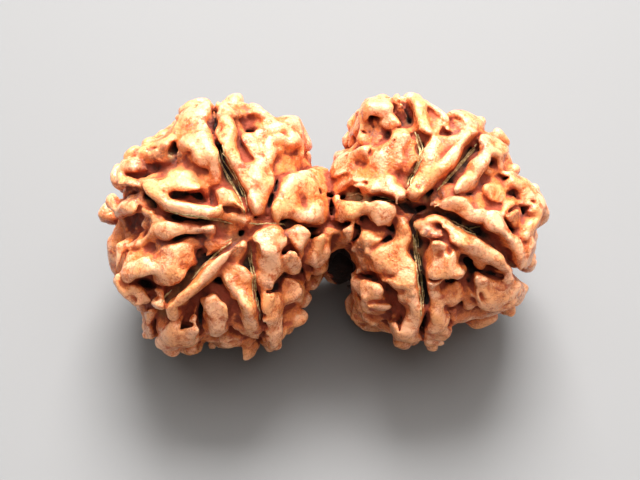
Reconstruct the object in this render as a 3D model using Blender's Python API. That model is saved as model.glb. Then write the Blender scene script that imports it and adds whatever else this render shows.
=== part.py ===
"""Gauri shankar rudraksha: two rudraksha beads that grew joined side by side, as one solid.

The relief is described as it is seen looking down on the two thread-hole poles. A picture
frame holds it: u runs to the right, v up, and w towards the eye, in millimetres, and its
origin is on the join. Each ridge is a hand-drawn path in u and v, which is laid on its bead
along the line of sight. Where the picture shows nothing, ridges grow by a seeded rule.
"""

import math

import bmesh
import bpy
import numpy as np

# Sizes, in millimetres, and angles, in degrees
MM = 0.001
VIEW_AZIMUTH = -2.6
VIEW_ELEVATION = 54.0
EYE = (-0.42, -1.13, 69.0)
HALF_THICKNESS = 8.6
ROUNDNESS = 2.35
VALLEY_DEPTH = 1.5
GROOVE_DEPTH = 1.0
GROOVE_HALF_WIDTH = 0.42
RIDGE_FULLNESS = 1.3
WALL_SLOPE = 1.6
PIT_SLOPE = 7.0
PIT_FLOOR_SHARE = 0.5
BLEND = 0.25
REST_HEIGHT = 8.9
JOIN_SIZE = (2.2, 2.4, 3.2)
ROW_CENTRE = (-0.02, 0.03)
FLOOR_BLOCK = (60.0, 50.0, 10.0)
SHARP_ANGLE = 50.0

# How far a ridge's crest lies below the bead's outer surface
HIGH = 0.0
UPPER = 0.5
MIDDLE = 1.0
LOW = 1.5

# Resolution of the two spheres that are raised, and of the finished solid
SPHERE_SUBDIVISIONS = 7
BEAD_TRIANGLES = 5450
JOIN_SEGMENTS = 24
JOIN_RINGS = 16

# Colour of the dried seed stone
STONE_COLOUR = (0.48, 0.22, 0.085, 1.0)
STONE_ROUGHNESS = 0.38

# Outlines of the two beads, through the tops of their outermost ridges
LEFT_CENTRE = (-6.9, -0.4, 0.2)
LEFT_OUTLINE = [
    (1.9, 0.0), (0.5, 3.2), (-0.9, 4.9), (-1.5, 7.2), (-3.3, 7.8), (-4.7, 8.4), (-6.1, 9.0),
    (-7.6, 9.0), (-8.9, 8.8), (-10.3, 7.8), (-11.7, 6.4), (-13.1, 5.4), (-14.5, 4.3),
    (-15.2, 2.7), (-15.6, 1.0), (-15.5, -0.8), (-15.1, -3.0), (-14.5, -5.4), (-13.2, -7.1),
    (-11.7, -8.5), (-10.2, -9.4), (-8.7, -9.3), (-6.9, -9.1), (-4.9, -9.5), (-3.3, -8.9),
    (-1.8, -7.0), (-0.8, -5.2), (0.1, -3.4), (1.0, -2.0),
]
LEFT_POLE = (-5.8, -0.4)
RIGHT_CENTRE = (6.9, 0.2, -0.2)
RIGHT_OUTLINE = [
    (-1.7, 0.2), (-0.2, -1.3), (0.9, -2.0), (1.5, -3.2), (1.4, -5.0), (1.4, -6.5), (2.3, -7.5),
    (3.8, -8.4), (5.2, -8.9), (6.7, -9.0), (8.1, -8.8), (9.4, -7.9), (10.9, -7.4), (12.3, -6.8),
    (13.6, -5.4),
    (14.4, -3.3), (15.0, -1.4), (15.6, 0.5), (15.1, 1.9), (14.0, 3.1), (13.1, 4.6),
    (12.4, 6.3), (10.9, 7.6), (9.4, 8.0), (7.9, 8.3), (6.6, 9.1), (5.2, 9.4), (3.7, 8.9),
    (2.3, 8.2), (1.2, 6.3), (0.6, 4.4), (-0.4, 2.8),
]
RIGHT_POLE = (6.4, 1.1)

# The deep face lines that run out from the poles
LEFT_GROOVES = [
    [(-5.6, 0.8), (-5.9, 2.0), (-6.3, 2.8), (-6.8, 3.6), (-7.2, 4.5), (-7.4, 5.5), (-7.8, 6.5),
     (-7.9, 7.3), (-7.8, 8.2), (-7.5, 8.6)],
    [(-6.2, -0.1), (-7.5, 0.2), (-9.0, 0.35), (-10.5, 0.6), (-11.7, 1.1), (-12.6, 1.8),
     (-13.8, 2.0), (-14.8, 2.1)],
    [(-6.3, -0.9), (-7.2, -1.6), (-8.2, -2.5), (-9.2, -3.5), (-10.2, -4.6), (-10.9, -5.5),
     (-11.5, -6.3), (-11.6, -7.5), (-11.7, -8.4)],
    [(-5.5, -1.2), (-5.3, -2.2), (-5.2, -3.2), (-4.95, -4.5), (-4.8, -5.5), (-4.6, -7.0),
     (-4.5, -8.4)],
    [(-5.3, 0.4), (-4.4, 0.5), (-3.6, 0.2), (-2.2, 0.1), (-1.0, 0.0), (0.0, 0.1)],
]
RIGHT_GROOVES = [
    [(6.0, 1.7), (5.6, 3.0), (5.2, 4.0), (5.6, 5.2), (5.7, 6.2), (5.8, 7.0), (5.4, 7.9),
     (5.1, 8.6)],
    [(7.2, 2.0), (8.2, 2.9), (9.0, 3.8), (9.9, 4.9), (10.6, 5.6), (11.0, 6.4)],
    [(7.2, 0.8), (8.4, 0.4), (9.5, -0.1), (10.8, -0.7), (11.7, -1.4), (12.6, -2.3),
     (13.5, -3.4)],
    [(6.1, 0.2), (6.3, -1.0), (6.6, -2.5), (6.8, -4.0), (6.9, -6.0), (6.9, -7.5), (6.6, -8.8)],
    [(5.3, 1.4), (4.2, 1.7), (3.3, 1.8), (2.4, 2.2), (1.2, 1.9), (0.5, 1.2)],
]

# Ridges of the left bead: half width, crest depth, path
LEFT_RIDGES = [
    # Upper left, outside the face line that runs up
    ((0.45, 0.7), HIGH, [(-12.7, 5.2), (-11.9, 5.4), (-11.3, 5.9), (-10.8, 6.5), (-10.3, 7.1),
                         (-9.8, 7.8), (-9.2, 8.2), (-8.5, 8.4), (-8.1, 8.2)]),
    ((0.7, 0.45), HIGH, [(-8.9, 8.0), (-9.2, 7.2), (-9.1, 6.5), (-8.7, 5.9), (-8.3, 5.2),
                         (-7.9, 4.8)]),
    (0.3, MIDDLE, [(-10.0, 6.4), (-9.8, 5.6), (-9.9, 4.9), (-10.5, 4.45), (-11.3, 4.3)]),
    (0.28, UPPER, [(-12.8, 3.0), (-12.35, 3.55), (-11.9, 3.95), (-11.4, 4.2)]),
    (0.42, HIGH, [(-12.8, 2.7), (-12.3, 2.3), (-11.6, 1.8), (-10.9, 1.4), (-10.0, 1.15),
                  (-9.2, 1.0), (-8.4, 1.05), (-7.8, 1.0)]),
    (0.4, HIGH, [(-12.3, 2.7), (-11.4, 2.5), (-10.6, 2.6), (-9.9, 2.8), (-9.3, 2.95)]),
    (0.2, MIDDLE, [(-8.6, 2.9), (-8.35, 2.3), (-8.5, 1.65)]),
    (0.4, UPPER, [(-7.9, 2.5), (-7.4, 2.45), (-7.0, 2.05), (-6.6, 1.7), (-6.2, 1.3)]),
    (0.25, MIDDLE, [(-8.3, 1.5), (-7.8, 1.35)]),
    (0.2, MIDDLE, [(-7.5, 0.6), (-6.6, 0.65)]),
    (0.3, MIDDLE, [(-6.15, 0.4), (-6.05, 0.4)]),
    (0.5, LOW, [(-8.9, 3.5), (-8.3, 3.7), (-7.7, 3.3)]),
    (0.5, LOW, [(-12.1, 3.3), (-11.4, 3.4), (-10.9, 3.8)]),
    # Far left
    (0.42, HIGH, [(-13.5, 4.4), (-14.1, 4.1), (-14.6, 3.6), (-14.55, 3.1), (-14.1, 2.9)]),
    (0.38, HIGH, [(-15.15, 1.75), (-15.2, 1.25)]),
    (0.33, UPPER, [(-14.5, 0.6), (-14.15, 1.1), (-13.8, 1.35), (-13.3, 1.15), (-12.8, 0.95),
                   (-12.2, 0.85)]),
    (0.33, HIGH, [(-15.15, -0.1), (-15.05, -0.1)]),
    (0.2, LOW, [(-13.3, 0.0), (-13.1, -0.5)]),
    (0.42, HIGH, [(-11.8, -0.9), (-11.3, -0.5), (-10.8, -0.1), (-10.2, 0.0)]),
    (0.22, HIGH, [(-10.2, 0.0), (-9.4, -0.2), (-8.3, -0.3)]),
    (0.3, LOW, [(-11.6, 0.1), (-11.1, 0.3)]),
    (0.18, MIDDLE, [(-8.4, -1.6), (-7.7, -1.3), (-6.9, -0.95)]),
    (0.15, LOW, [(-7.4, -0.4), (-6.5, -0.45)]),
    (0.27, UPPER, [(-14.3, -1.5), (-13.5, -1.4), (-12.9, -1.3), (-12.2, -0.95)]),
    (0.32, HIGH, [(-14.7, -1.3), (-14.65, -2.2), (-14.65, -3.2), (-14.6, -4.2), (-14.4, -4.9),
                  (-14.0, -5.4), (-13.5, -5.7)]),
    (0.55, HIGH, [(-13.7, -2.4), (-13.1, -2.4), (-12.5, -2.7)]),
    (0.5, HIGH, [(-13.9, -3.4), (-13.3, -3.3), (-12.7, -3.1)]),
    (0.5, UPPER, [(-12.4, -2.8), (-11.7, -2.8)]),
    (0.6, HIGH, [(-10.9, -2.2), (-10.4, -2.8), (-10.5, -3.4), (-11.0, -3.9)]),
    (0.45, HIGH, [(-11.6, -2.6), (-11.4, -3.3), (-11.1, -3.9)]),
    (0.33, MIDDLE, [(-14.0, -4.4), (-13.4, -4.65), (-12.9, -5.1), (-12.7, -5.5)]),
    (0.3, LOW, [(-12.3, -4.9), (-11.9, -5.2)]),
    (0.15, MIDDLE, [(-11.2, -4.8), (-11.5, -5.4)]),
    (0.4, HIGH, [(-12.05, -6.0), (-11.95, -6.0)]),
    ((0.38, 0.3), MIDDLE, [(-12.15, -6.7), (-12.15, -7.4), (-12.1, -8.1)]),
    (0.4, MIDDLE, [(-13.7, -6.2), (-13.2, -6.6), (-12.9, -6.9)]),
    # Lower left
    (0.37, HIGH, [(-6.95, -1.7), (-7.5, -2.35), (-8.1, -3.0), (-8.7, -3.7), (-9.2, -4.3),
                  (-9.8, -4.95), (-10.4, -5.4), (-10.9, -6.0), (-11.2, -6.7)]),
    (0.22, MIDDLE, [(-11.1, -6.8), (-10.5, -6.6), (-9.9, -6.8), (-9.6, -6.7), (-9.5, -6.3)]),
    (0.45, HIGH, [(-11.0, -7.7), (-11.0, -8.2), (-10.4, -8.35), (-9.8, -8.25), (-9.4, -7.8)]),
    (0.4, MIDDLE, [(-10.9, -8.9), (-10.2, -9.1), (-9.8, -9.2)]),
    (0.5, LOW, [(-8.85, -8.7), (-8.75, -8.7)]),
    ((0.4, 0.75), HIGH, [(-6.3, -1.5), (-6.6, -2.3), (-6.5, -3.2), (-6.4, -4.0)]),
    ((0.75, 0.4), HIGH, [(-6.4, -4.0), (-6.1, -4.6), (-5.7, -5.4), (-5.5, -6.2), (-5.3, -6.9),
                         (-5.2, -7.3)]),
    (0.35, MIDDLE, [(-6.5, -6.9), (-6.1, -7.1), (-5.8, -7.7), (-5.2, -7.7)]),
    (0.5, UPPER, [(-8.0, -5.9), (-7.8, -6.4), (-7.5, -6.9), (-7.6, -7.2)]),
    (0.33, MIDDLE, [(-7.3, -7.6), (-7.1, -7.9)]),
    (0.4, LOW, [(-7.65, -5.1), (-7.55, -5.1)]),
    (0.4, MIDDLE, [(-5.4, -9.0), (-5.2, -9.4)]),
    (0.3, MIDDLE, [(-4.7, -8.7), (-4.6, -9.1)]),
    # Lower right
    (0.5, HIGH, [(-4.6, -0.9), (-3.9, -0.9), (-3.4, -0.9)]),
    ((0.65, 0.4), HIGH, [(-4.4, -1.2), (-4.2, -2.2), (-4.1, -3.0), (-4.2, -3.8),
                         (-4.25, -4.2)]),
    (0.3, MIDDLE, [(-3.6, -3.0), (-3.2, -2.7)]),
    (0.38, HIGH, [(-2.3, -0.7), (-1.9, -0.6), (-1.6, -0.9)]),
    (0.3, MIDDLE, [(-3.2, -1.2), (-2.5, -1.2)]),
    (0.35, UPPER, [(-3.0, -2.4), (-2.6, -2.9), (-2.2, -3.0), (-2.0, -2.5)]),
    (0.2, MIDDLE, [(-1.7, -1.3), (-1.6, -2.0), (-1.55, -2.8)]),
    (0.28, MIDDLE, [(-1.3, -2.6), (-1.2, -3.4), (-1.1, -4.0)]),
    (0.4, UPPER, [(-2.8, -4.2), (-2.6, -4.7), (-2.0, -4.8)]),
    (0.35, MIDDLE, [(-2.7, -3.9), (-2.1, -4.3), (-1.8, -4.8)]),
    ((0.27, 0.4), MIDDLE, [(-1.0, -4.6), (-1.0, -5.3), (-1.05, -6.0), (-1.5, -6.4)]),
    (0.38, HIGH, [(-3.95, -5.3), (-4.1, -6.0), (-4.0, -6.7), (-4.0, -7.4), (-3.9, -8.0),
                  (-3.7, -8.4)]),
    (0.43, MIDDLE, [(-3.0, -7.8), (-2.85, -8.3), (-3.1, -8.5)]),
    (0.25, LOW, [(-2.9, -6.2), (-2.4, -6.3)]),
    # Upper right
    (0.4, HIGH, [(-7.2, 7.6), (-7.1, 8.2), (-6.7, 8.6), (-6.0, 8.7), (-5.3, 8.4), (-4.7, 7.9),
                 (-4.1, 7.4), (-3.4, 7.1)]),
    (0.25, LOW, [(-6.4, 7.3), (-5.9, 7.4)]),
    (0.25, MIDDLE, [(-5.35, 7.2), (-5.25, 7.2)]),
    (0.15, LOW, [(-5.85, 7.4), (-5.85, 6.6)]),
    (0.38, HIGH, [(-7.25, 6.9), (-7.2, 6.2), (-7.0, 5.6), (-6.6, 4.9), (-6.3, 4.4),
                  (-5.9, 3.8), (-5.4, 3.4), (-4.7, 3.3)]),
    (0.42, HIGH, [(-4.6, 3.3), (-4.1, 4.2), (-3.8, 4.8), (-3.5, 5.5)]),
    (0.37, HIGH, [(-5.6, 6.2), (-5.0, 6.1), (-4.4, 6.1), (-3.7, 5.9), (-3.2, 5.6)]),
    (0.35, MIDDLE, [(-5.3, 5.8), (-5.0, 5.3), (-4.8, 4.8)]),
    (0.33, HIGH, [(-4.6, 6.7), (-3.9, 6.9), (-3.2, 7.0), (-2.6, 7.1), (-2.0, 7.1),
                  (-1.7, 6.6), (-1.5, 5.9), (-1.5, 5.3)]),
    (0.35, HIGH, [(-3.6, 6.3), (-3.0, 6.4), (-2.4, 6.2), (-1.8, 6.3)]),
    (0.5, MIDDLE, [(-2.6, 3.9), (-1.9, 4.2), (-1.2, 3.9)]),
    (0.4, LOW, [(-1.65, 4.7), (-1.55, 4.7)]),
    (0.5, HIGH, [(-5.3, 2.9), (-5.0, 2.2), (-4.8, 1.5)]),
    (0.5, HIGH, [(-4.4, 3.0), (-4.1, 2.5), (-4.2, 2.0), (-4.6, 1.4)]),
    (0.5, HIGH, [(-1.9, 2.9), (-2.6, 2.5), (-3.2, 1.9), (-3.4, 1.2), (-3.2, 0.7)]),
    (0.55, HIGH, [(-1.9, 2.9), (-1.2, 3.0), (-0.4, 3.1), (-0.2, 2.4), (-0.3, 1.7),
                  (-0.7, 1.2), (-1.1, 0.9)]),
    (0.3, MIDDLE, [(-3.0, 0.7), (-2.2, 0.75), (-1.3, 0.8)]),
    (0.4, HIGH, [(-1.5, 3.4), (-0.7, 3.5), (-0.1, 3.2)]),
    # Towards the join
    (0.47, HIGH, [(-0.1, -0.8), (-0.3, -1.4), (-0.4, -2.1), (-0.2, -2.8)]),
]

# Ridges of the right bead
RIGHT_RIDGES = [
    # Towards the join
    (0.42, UPPER, [(0.0, -0.7), (0.7, -0.8), (1.4, -0.7)]),
    (0.4, MIDDLE, [(0.7, 2.7), (1.2, 2.5), (1.6, 2.7)]),
    (0.3, UPPER, [(0.6, 1.9), (0.6, 1.4)]),
    (0.38, HIGH, [(1.5, -0.95), (1.5, -0.85)]),
    (0.35, HIGH, [(0.8, 1.1), (1.4, 1.0), (2.0, 0.9), (2.7, 0.95)]),
    (0.4, UPPER, [(2.3, -0.4), (2.4, -1.2), (2.5, -2.0), (2.9, -2.8)]),
    (0.25, MIDDLE, [(2.7, -0.7), (3.3, -0.9), (3.8, -1.0)]),
    # Upper left
    (0.35, HIGH, [(2.2, 6.4), (2.4, 7.2), (2.6, 8.0), (3.1, 8.5), (3.6, 8.5)]),
    (0.3, HIGH, [(4.2, 8.5), (4.3, 8.1)]),
    (0.4, MIDDLE, [(3.2, 7.3), (3.6, 6.8)]),
    (0.4, HIGH, [(4.5, 7.4), (4.8, 7.2)]),
    ((0.5, 0.75), HIGH, [(5.3, 6.6), (5.2, 6.0), (4.9, 5.4), (4.6, 4.8), (4.5, 4.2),
                         (4.2, 3.6)]),
    (0.45, HIGH, [(4.3, 3.8), (3.6, 3.7), (2.9, 3.6), (2.2, 3.5)]),
    ((0.3, 0.45), HIGH, [(1.0, 4.4), (1.3, 4.9), (2.0, 5.2), (2.5, 5.1)]),
    (0.45, HIGH, [(1.05, 4.5), (1.15, 4.5)]),
    (0.25, MIDDLE, [(1.2, 6.0), (1.9, 6.1), (2.5, 6.0), (3.0, 5.9)]),
    (0.35, MIDDLE, [(3.0, 4.9), (3.4, 4.6)]),
    (0.3, MIDDLE, [(0.7, 3.8), (0.9, 3.4), (0.5, 3.2)]),
    (0.35, HIGH, [(3.3, 2.8), (4.0, 2.7), (4.6, 2.9)]),
    (0.35, HIGH, [(3.6, 2.3), (4.3, 2.1), (4.9, 1.8), (5.2, 1.7)]),
    (0.3, HIGH, [(4.9, 2.4), (5.5, 2.2)]),
    # Left of the pole
    (0.25, HIGH, [(3.4, 1.3), (4.1, 1.35), (4.8, 1.2)]),
    (0.35, MIDDLE, [(3.4, 0.6), (3.7, 0.1), (4.3, 0.1)]),
    (0.3, HIGH, [(5.3, 0.3), (5.5, -0.3), (5.4, -1.0), (5.0, -1.5), (4.3, -1.8),
                 (3.7, -1.9)]),
    (0.5, HIGH, [(3.6, -2.0), (4.3, -2.4), (5.0, -2.5), (5.5, -2.5)]),
    (0.45, HIGH, [(5.4, -2.4), (5.8, -3.0), (5.9, -3.7), (5.8, -4.3)]),
    (0.38, HIGH, [(6.1, -4.9), (6.1, -5.6), (6.2, -6.4), (6.4, -7.0), (6.2, -7.8)]),
    # Upper right
    (0.3, HIGH, [(5.25, 9.1), (5.35, 9.1)]),
    (0.5, HIGH, [(5.3, 9.0), (5.9, 8.8), (6.2, 8.3), (6.3, 7.7), (6.5, 7.1), (6.6, 6.7)]),
    (0.3, HIGH, [(6.3, 8.9), (7.0, 8.6), (7.6, 8.1), (8.1, 7.6), (8.4, 7.3)]),
    (0.3, HIGH, [(7.55, 6.5), (7.65, 6.5)]),
    (0.2, HIGH, [(8.45, 6.8), (8.5, 6.4)]),
    (0.3, HIGH, [(9.0, 7.6), (9.6, 7.7), (10.3, 7.7), (10.7, 7.4)]),
    (0.35, HIGH, [(9.9, 7.2), (10.5, 7.1)]),
    (0.5, MIDDLE, [(9.2, 6.7), (9.7, 6.5)]),
    (0.4, HIGH, [(10.5, 6.6), (10.2, 6.0), (9.7, 5.5), (9.2, 5.1), (8.6, 4.6), (8.1, 4.1)]),
    (0.4, HIGH, [(7.4, 5.5), (8.2, 5.4), (9.0, 5.5), (9.8, 5.8)]),
    (0.45, HIGH, [(7.4, 5.0), (8.0, 4.8), (8.7, 4.8)]),
    (0.35, UPPER, [(7.7, 4.3), (8.2, 4.1)]),
    (0.45, HIGH, [(7.1, 4.3), (7.0, 3.7), (6.7, 3.1), (6.5, 2.5), (6.4, 2.2)]),
    (0.3, UPPER, [(7.55, 3.4), (7.65, 3.4)]),
    (0.25, MIDDLE, [(5.9, 5.6), (6.2, 4.9), (6.2, 4.2), (5.9, 3.5), (5.8, 2.9)]),
    (0.35, HIGH, [(11.2, 4.6), (10.6, 4.3), (10.1, 3.8), (9.7, 3.3), (9.2, 2.8)]),
    (0.4, HIGH, [(11.2, 6.1), (11.8, 6.1), (12.4, 5.8), (12.7, 5.4)]),
    (0.3, HIGH, [(11.5, 5.8), (11.4, 5.3), (11.3, 4.9)]),
    (0.25, MIDDLE, [(12.3, 5.4), (12.2, 4.8), (12.3, 4.3), (12.4, 3.9)]),
    (0.15, MIDDLE, [(11.2, 3.6), (11.7, 3.6), (12.1, 3.5)]),
    (0.4, HIGH, [(11.5, 2.8), (12.0, 2.4), (12.2, 2.2)]),
    (0.3, MIDDLE, [(12.3, 3.5), (13.0, 3.4)]),
    (0.4, HIGH, [(13.4, 2.8), (14.0, 2.5), (14.6, 1.9), (14.9, 1.4)]),
    # Right
    (0.35, HIGH, [(7.9, 1.0), (8.6, 1.1), (9.3, 0.9), (9.9, 0.6), (10.5, 0.55), (10.9, 0.7)]),
    (0.3, MIDDLE, [(8.4, 1.5), (9.2, 1.4), (9.6, 1.6)]),
    (0.4, HIGH, [(11.3, 0.4), (11.7, 0.0), (11.9, -0.5), (12.4, -1.0), (12.8, -1.5)]),
    (0.35, HIGH, [(13.0, 0.4), (13.2, 0.0), (13.4, -0.4)]),
    (0.35, HIGH, [(14.6, 1.7), (14.9, 1.2), (15.1, 0.8), (15.3, 0.5)]),
    (0.3, HIGH, [(15.2, 0.4), (14.8, 0.0), (14.5, -0.5), (14.2, -1.0)]),
    (0.2, MIDDLE, [(13.9, 1.5), (14.4, 1.45)]),
    (0.25, MIDDLE, [(14.2, 0.8), (14.8, 0.6), (15.2, 0.5)]),
    (0.25, UPPER, [(12.3, 1.4), (12.4, 0.9), (12.3, 0.6)]),
    (0.35, MIDDLE, [(13.2, 1.4), (13.6, 2.2)]),
    (0.35, HIGH, [(13.6, -1.5), (13.8, -2.0), (13.6, -2.4)]),
    (0.3, HIGH, [(14.5, -1.3), (14.4, -2.0), (14.2, -2.7), (14.0, -3.1)]),
    # Lower right
    (0.37, HIGH, [(7.3, 0.2), (8.0, -0.2), (8.7, -0.7), (9.4, -1.0), (10.1, -1.3),
                  (10.8, -1.7), (11.6, -2.2), (12.3, -2.6), (12.8, -3.0)]),
    (0.5, UPPER, [(8.0, -1.7), (8.7, -1.4), (9.3, -1.3)]),
    (0.6, HIGH, [(7.8, -1.8), (7.9, -2.6), (8.0, -3.3)]),
    (0.45, HIGH, [(8.6, -2.6), (9.0, -3.2), (9.5, -3.5)]),
    (0.25, LOW, [(10.9, -2.9), (11.3, -2.7)]),
    (0.3, HIGH, [(10.8, -4.2), (10.9, -4.9)]),
    (0.55, HIGH, [(11.2, -5.2), (11.9, -5.4), (12.6, -5.4), (13.2, -5.1), (13.6, -4.7)]),
    (0.3, HIGH, [(12.7, -3.8), (13.0, -4.0)]),
    (0.4, MIDDLE, [(10.9, -6.4), (11.5, -6.8), (12.2, -6.6), (12.8, -6.2)]),
    (0.38, HIGH, [(7.5, -3.4), (7.6, -4.2), (7.6, -5.0), (7.6, -5.8), (7.7, -6.6),
                  (8.0, -7.2)]),
    (0.45, HIGH, [(7.8, -6.9), (8.2, -7.3), (7.8, -7.6)]),
    (0.5, MIDDLE, [(7.2, -8.5), (7.8, -8.4)]),
    (0.3, UPPER, [(8.5, -5.0), (8.9, -5.3), (9.3, -5.0), (9.3, -4.6)]),
    (0.28, MIDDLE, [(9.9, -4.8), (10.0, -5.4)]),
    (0.35, LOW, [(8.6, -6.1), (9.1, -6.2)]),
    (0.35, LOW, [(9.0, -7.3), (9.9, -7.2)]),
    # Lower left
    (0.45, HIGH, [(2.2, -3.8), (2.7, -4.4), (3.3, -4.9), (3.9, -4.9)]),
    (0.18, HIGH, [(1.9, -2.8), (2.1, -3.4)]),
    (0.35, UPPER, [(2.2, -5.3), (2.6, -5.8), (3.2, -6.1), (3.9, -6.0), (4.3, -5.6)]),
    (0.42, MIDDLE, [(1.5, -5.3), (1.6, -6.0), (1.7, -6.7), (2.3, -6.9), (3.0, -7.0)]),
    (0.25, LOW, [(1.7, -2.6), (1.6, -3.2)]),
    (0.3, LOW, [(4.6, -6.1), (5.2, -6.0)]),
    (0.3, UPPER, [(4.7, -7.3), (5.1, -7.8), (5.7, -8.0), (6.2, -7.9)]),
    (0.4, MIDDLE, [(4.6, -8.5), (5.2, -8.6), (5.9, -8.6)]),
    (0.35, LOW, [(3.5, -7.6), (4.1, -8.3)]),
]

# Holes and dents: u, v, radius, depth of the bottom below the outer surface
LEFT_PITS = [
    (-5.8, -0.4, 0.75, 3.6), (-4.4, 0.55, 0.6, 4.0), (-7.9, 7.3, 0.35, 3.2),
    (-10.5, 5.5, 0.6, 3.4), (-8.95, 2.2, 0.5, 3.6), (-10.2, 1.95, 0.4, 2.8),
    (-12.9, -4.1, 0.7, 3.6), (-13.5, -5.3, 0.3, 3.0), (-7.9, -4.1, 0.65, 3.4),
    (-2.8, -1.7, 0.4, 3.4), (-3.1, -5.8, 0.4, 3.2), (-1.9, 1.6, 0.5, 1.5),
    (-5.25, 1.8, 0.3, 2.4), (-5.7, 5.1, 0.5, 2.6), (-6.3, 7.9, 0.25, 1.6),
    (-1.0, 0.1, 0.8, 3.8),
]
RIGHT_PITS = [
    (6.2, 1.0, 0.8, 3.6), (2.0, 2.2, 0.8, 3.8), (1.2, 3.1, 0.3, 2.6), (2.45, 4.6, 0.5, 2.6),
    (4.3, -0.5, 0.6, 3.4), (3.4, -3.7, 0.6, 3.0), (10.0, -3.1, 0.7, 3.4),
    (11.7, -3.4, 0.6, 3.4), (11.6, 4.35, 0.35, 3.0), (12.7, 4.4, 0.3, 3.0),
    (13.7, 0.6, 0.6, 3.4), (10.4, 1.1, 0.3, 2.6), (7.6, 7.5, 0.5, 2.6), (8.4, -1.2, 0.25, 2.2),
    (11.8, -4.3, 0.4, 2.2), (1.0, -2.2, 0.8, 4.5),
]

# Low knobs that the stone rests on, two under each bead: row x, row y
REST_KNOBS = [(-7.0, -2.6), (-7.0, 2.4), (6.9, -2.6), (6.9, 2.4)]
REST_KNOB_HALF_WIDTH = 1.1
REST_KNOB_LENGTH = 0.1

# The hidden stretch of a face line, as shares of the way from its seen end to the hidden pole,
# and the short ridges along both its sides
HIDDEN_STRETCH = (0.08, 0.96)
HIDDEN_POINTS = 24
LIP_POINTS = (3, 8)
LIP_STRAY = (-0.1, 0.5)

# The rule that grows ridges over the sides that the picture doesn't show
SEED = 5
GROWN_STARTS = 5000
GROWN_STEP = 0.4
GROWN_STEPS = (3, 13)
GROWN_HALF_WIDTH = (0.4, 0.7)
GROWN_GAP = 0.14
GROWN_TURN = 0.35
GROWN_EDGE = 0.34
GROWN_DEPTHS = (HIGH, HIGH, UPPER, MIDDLE)
SAMPLE_STEP = 0.3

# How far past its half width a ridge's flanks are worked out
FLANK_REACH = 1.5


def unit(vectors):
    return vectors / np.linalg.norm(vectors, axis=-1, keepdims=True)


def view_matrix():
    """Columns are the picture frame's u, v and w in the row frame."""
    azimuth, elevation = math.radians(VIEW_AZIMUTH), math.radians(VIEW_ELEVATION)
    right = (math.cos(azimuth), math.sin(azimuth), 0.0)
    up = (
        -math.sin(azimuth) * math.sin(elevation),
        math.cos(azimuth) * math.sin(elevation),
        math.cos(elevation),
    )
    back = (
        math.sin(azimuth) * math.cos(elevation),
        -math.cos(azimuth) * math.cos(elevation),
        math.sin(elevation),
    )
    return np.array((right, up, back)).T


class Bead:
    """One bead: its outer surface, and where a point of the picture falls on it."""

    def __init__(self, centre, outline, pole):
        self.centre = np.array(centre)
        self.angles = np.radians(np.arange(0.0, 360.0, 2.0))
        points = np.array(outline) - centre[:2]
        angles = np.arctan2(points[:, 1], points[:, 0])
        order = np.argsort(angles)
        reach = np.interp(
            self.angles, angles[order], np.hypot(*points.T)[order], period=2 * math.pi
        )
        smoothing = np.array((1.0, 2.0, 3.0, 2.0, 1.0)) / 9.0
        self.reach = np.convolve(np.concatenate((reach[-2:], reach, reach[:2])), smoothing, "valid")
        self.pole = unit(self.seen(np.array([pole]), HIGH)[0] - self.centre)

    def crest(self, directions):
        """Radius of the outer surface along unit directions."""
        flat = np.hypot(directions[..., 0], directions[..., 1])
        angle = np.arctan2(directions[..., 1], directions[..., 0])
        reach = np.interp(angle, self.angles, self.reach, period=2 * math.pi)
        across = (flat / reach) ** ROUNDNESS
        along = (np.abs(directions[..., 2]) / HALF_THICKNESS) ** ROUNDNESS
        return (across + along) ** (-1.0 / ROUNDNESS)

    def lay(self, directions, depth):
        """Points at a depth below the outer surface."""
        directions = unit(directions)
        return self.centre + directions * (self.crest(directions) - depth)[..., None]

    def seen(self, places, depth):
        """Where the lines of sight through picture points meet the surface, sunk by depth."""
        eye = np.array(EYE)
        ends = np.column_stack((places, np.zeros(len(places))))
        along = np.linspace(0.8, 1.16, 700)[:, None, None]
        points = eye + along * (ends - eye)
        offsets = points - self.centre
        radius = np.linalg.norm(offsets, axis=-1)
        gap = radius - (self.crest(offsets / radius[..., None]) - depth)
        first = np.where((gap < 0).any(axis=0), (gap < 0).argmax(axis=0), gap.argmin(axis=0))
        hits = offsets[first, np.arange(len(places))]
        return self.lay(hits, depth)


def drawn_ridges(bead, ridges):
    """Each hand-drawn ridge as its points on the outer surface, half widths and crest depth."""
    found = []
    for width, depth, path in ridges:
        points = bead.seen(np.array(path), depth)
        first, last = width if isinstance(width, tuple) else (width, width)
        widths = np.linspace(first, last, len(path)) * (1.0 - points[:, 2] / EYE[2])
        widths *= RIDGE_FULLNESS
        found.append((bead.lay(points - bead.centre, HIGH), widths, depth))
    return found


def rest_knobs(bead, side):
    """The two low knobs under one bead."""
    found = []
    shift = (REST_KNOB_LENGTH, 0.0, 0.0)
    for x, y in REST_KNOBS:
        if math.copysign(1.0, x) != side:
            continue
        offset = np.array((x, y, -REST_HEIGHT)) @ view_matrix() - bead.centre
        points = bead.lay(np.array((offset, offset + shift)), HIGH)
        found.append((points, np.full(2, REST_KNOB_HALF_WIDTH), HIGH))
    return found


def groove_paths(bead, grooves):
    """The face lines, from the seen pole round to the hidden pole."""
    paths = []
    for path in grooves:
        seen = bead.seen(np.array(path), VALLEY_DEPTH)
        start = unit(seen[-1] - bead.centre)
        steps = np.linspace(*HIDDEN_STRETCH, HIDDEN_POINTS)[:, None]
        round_back = bead.lay(start * (1.0 - steps) - bead.pole * steps, HIGH)
        paths.append(np.concatenate((bead.lay(seen - bead.centre, HIGH), round_back)))
    return paths


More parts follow.
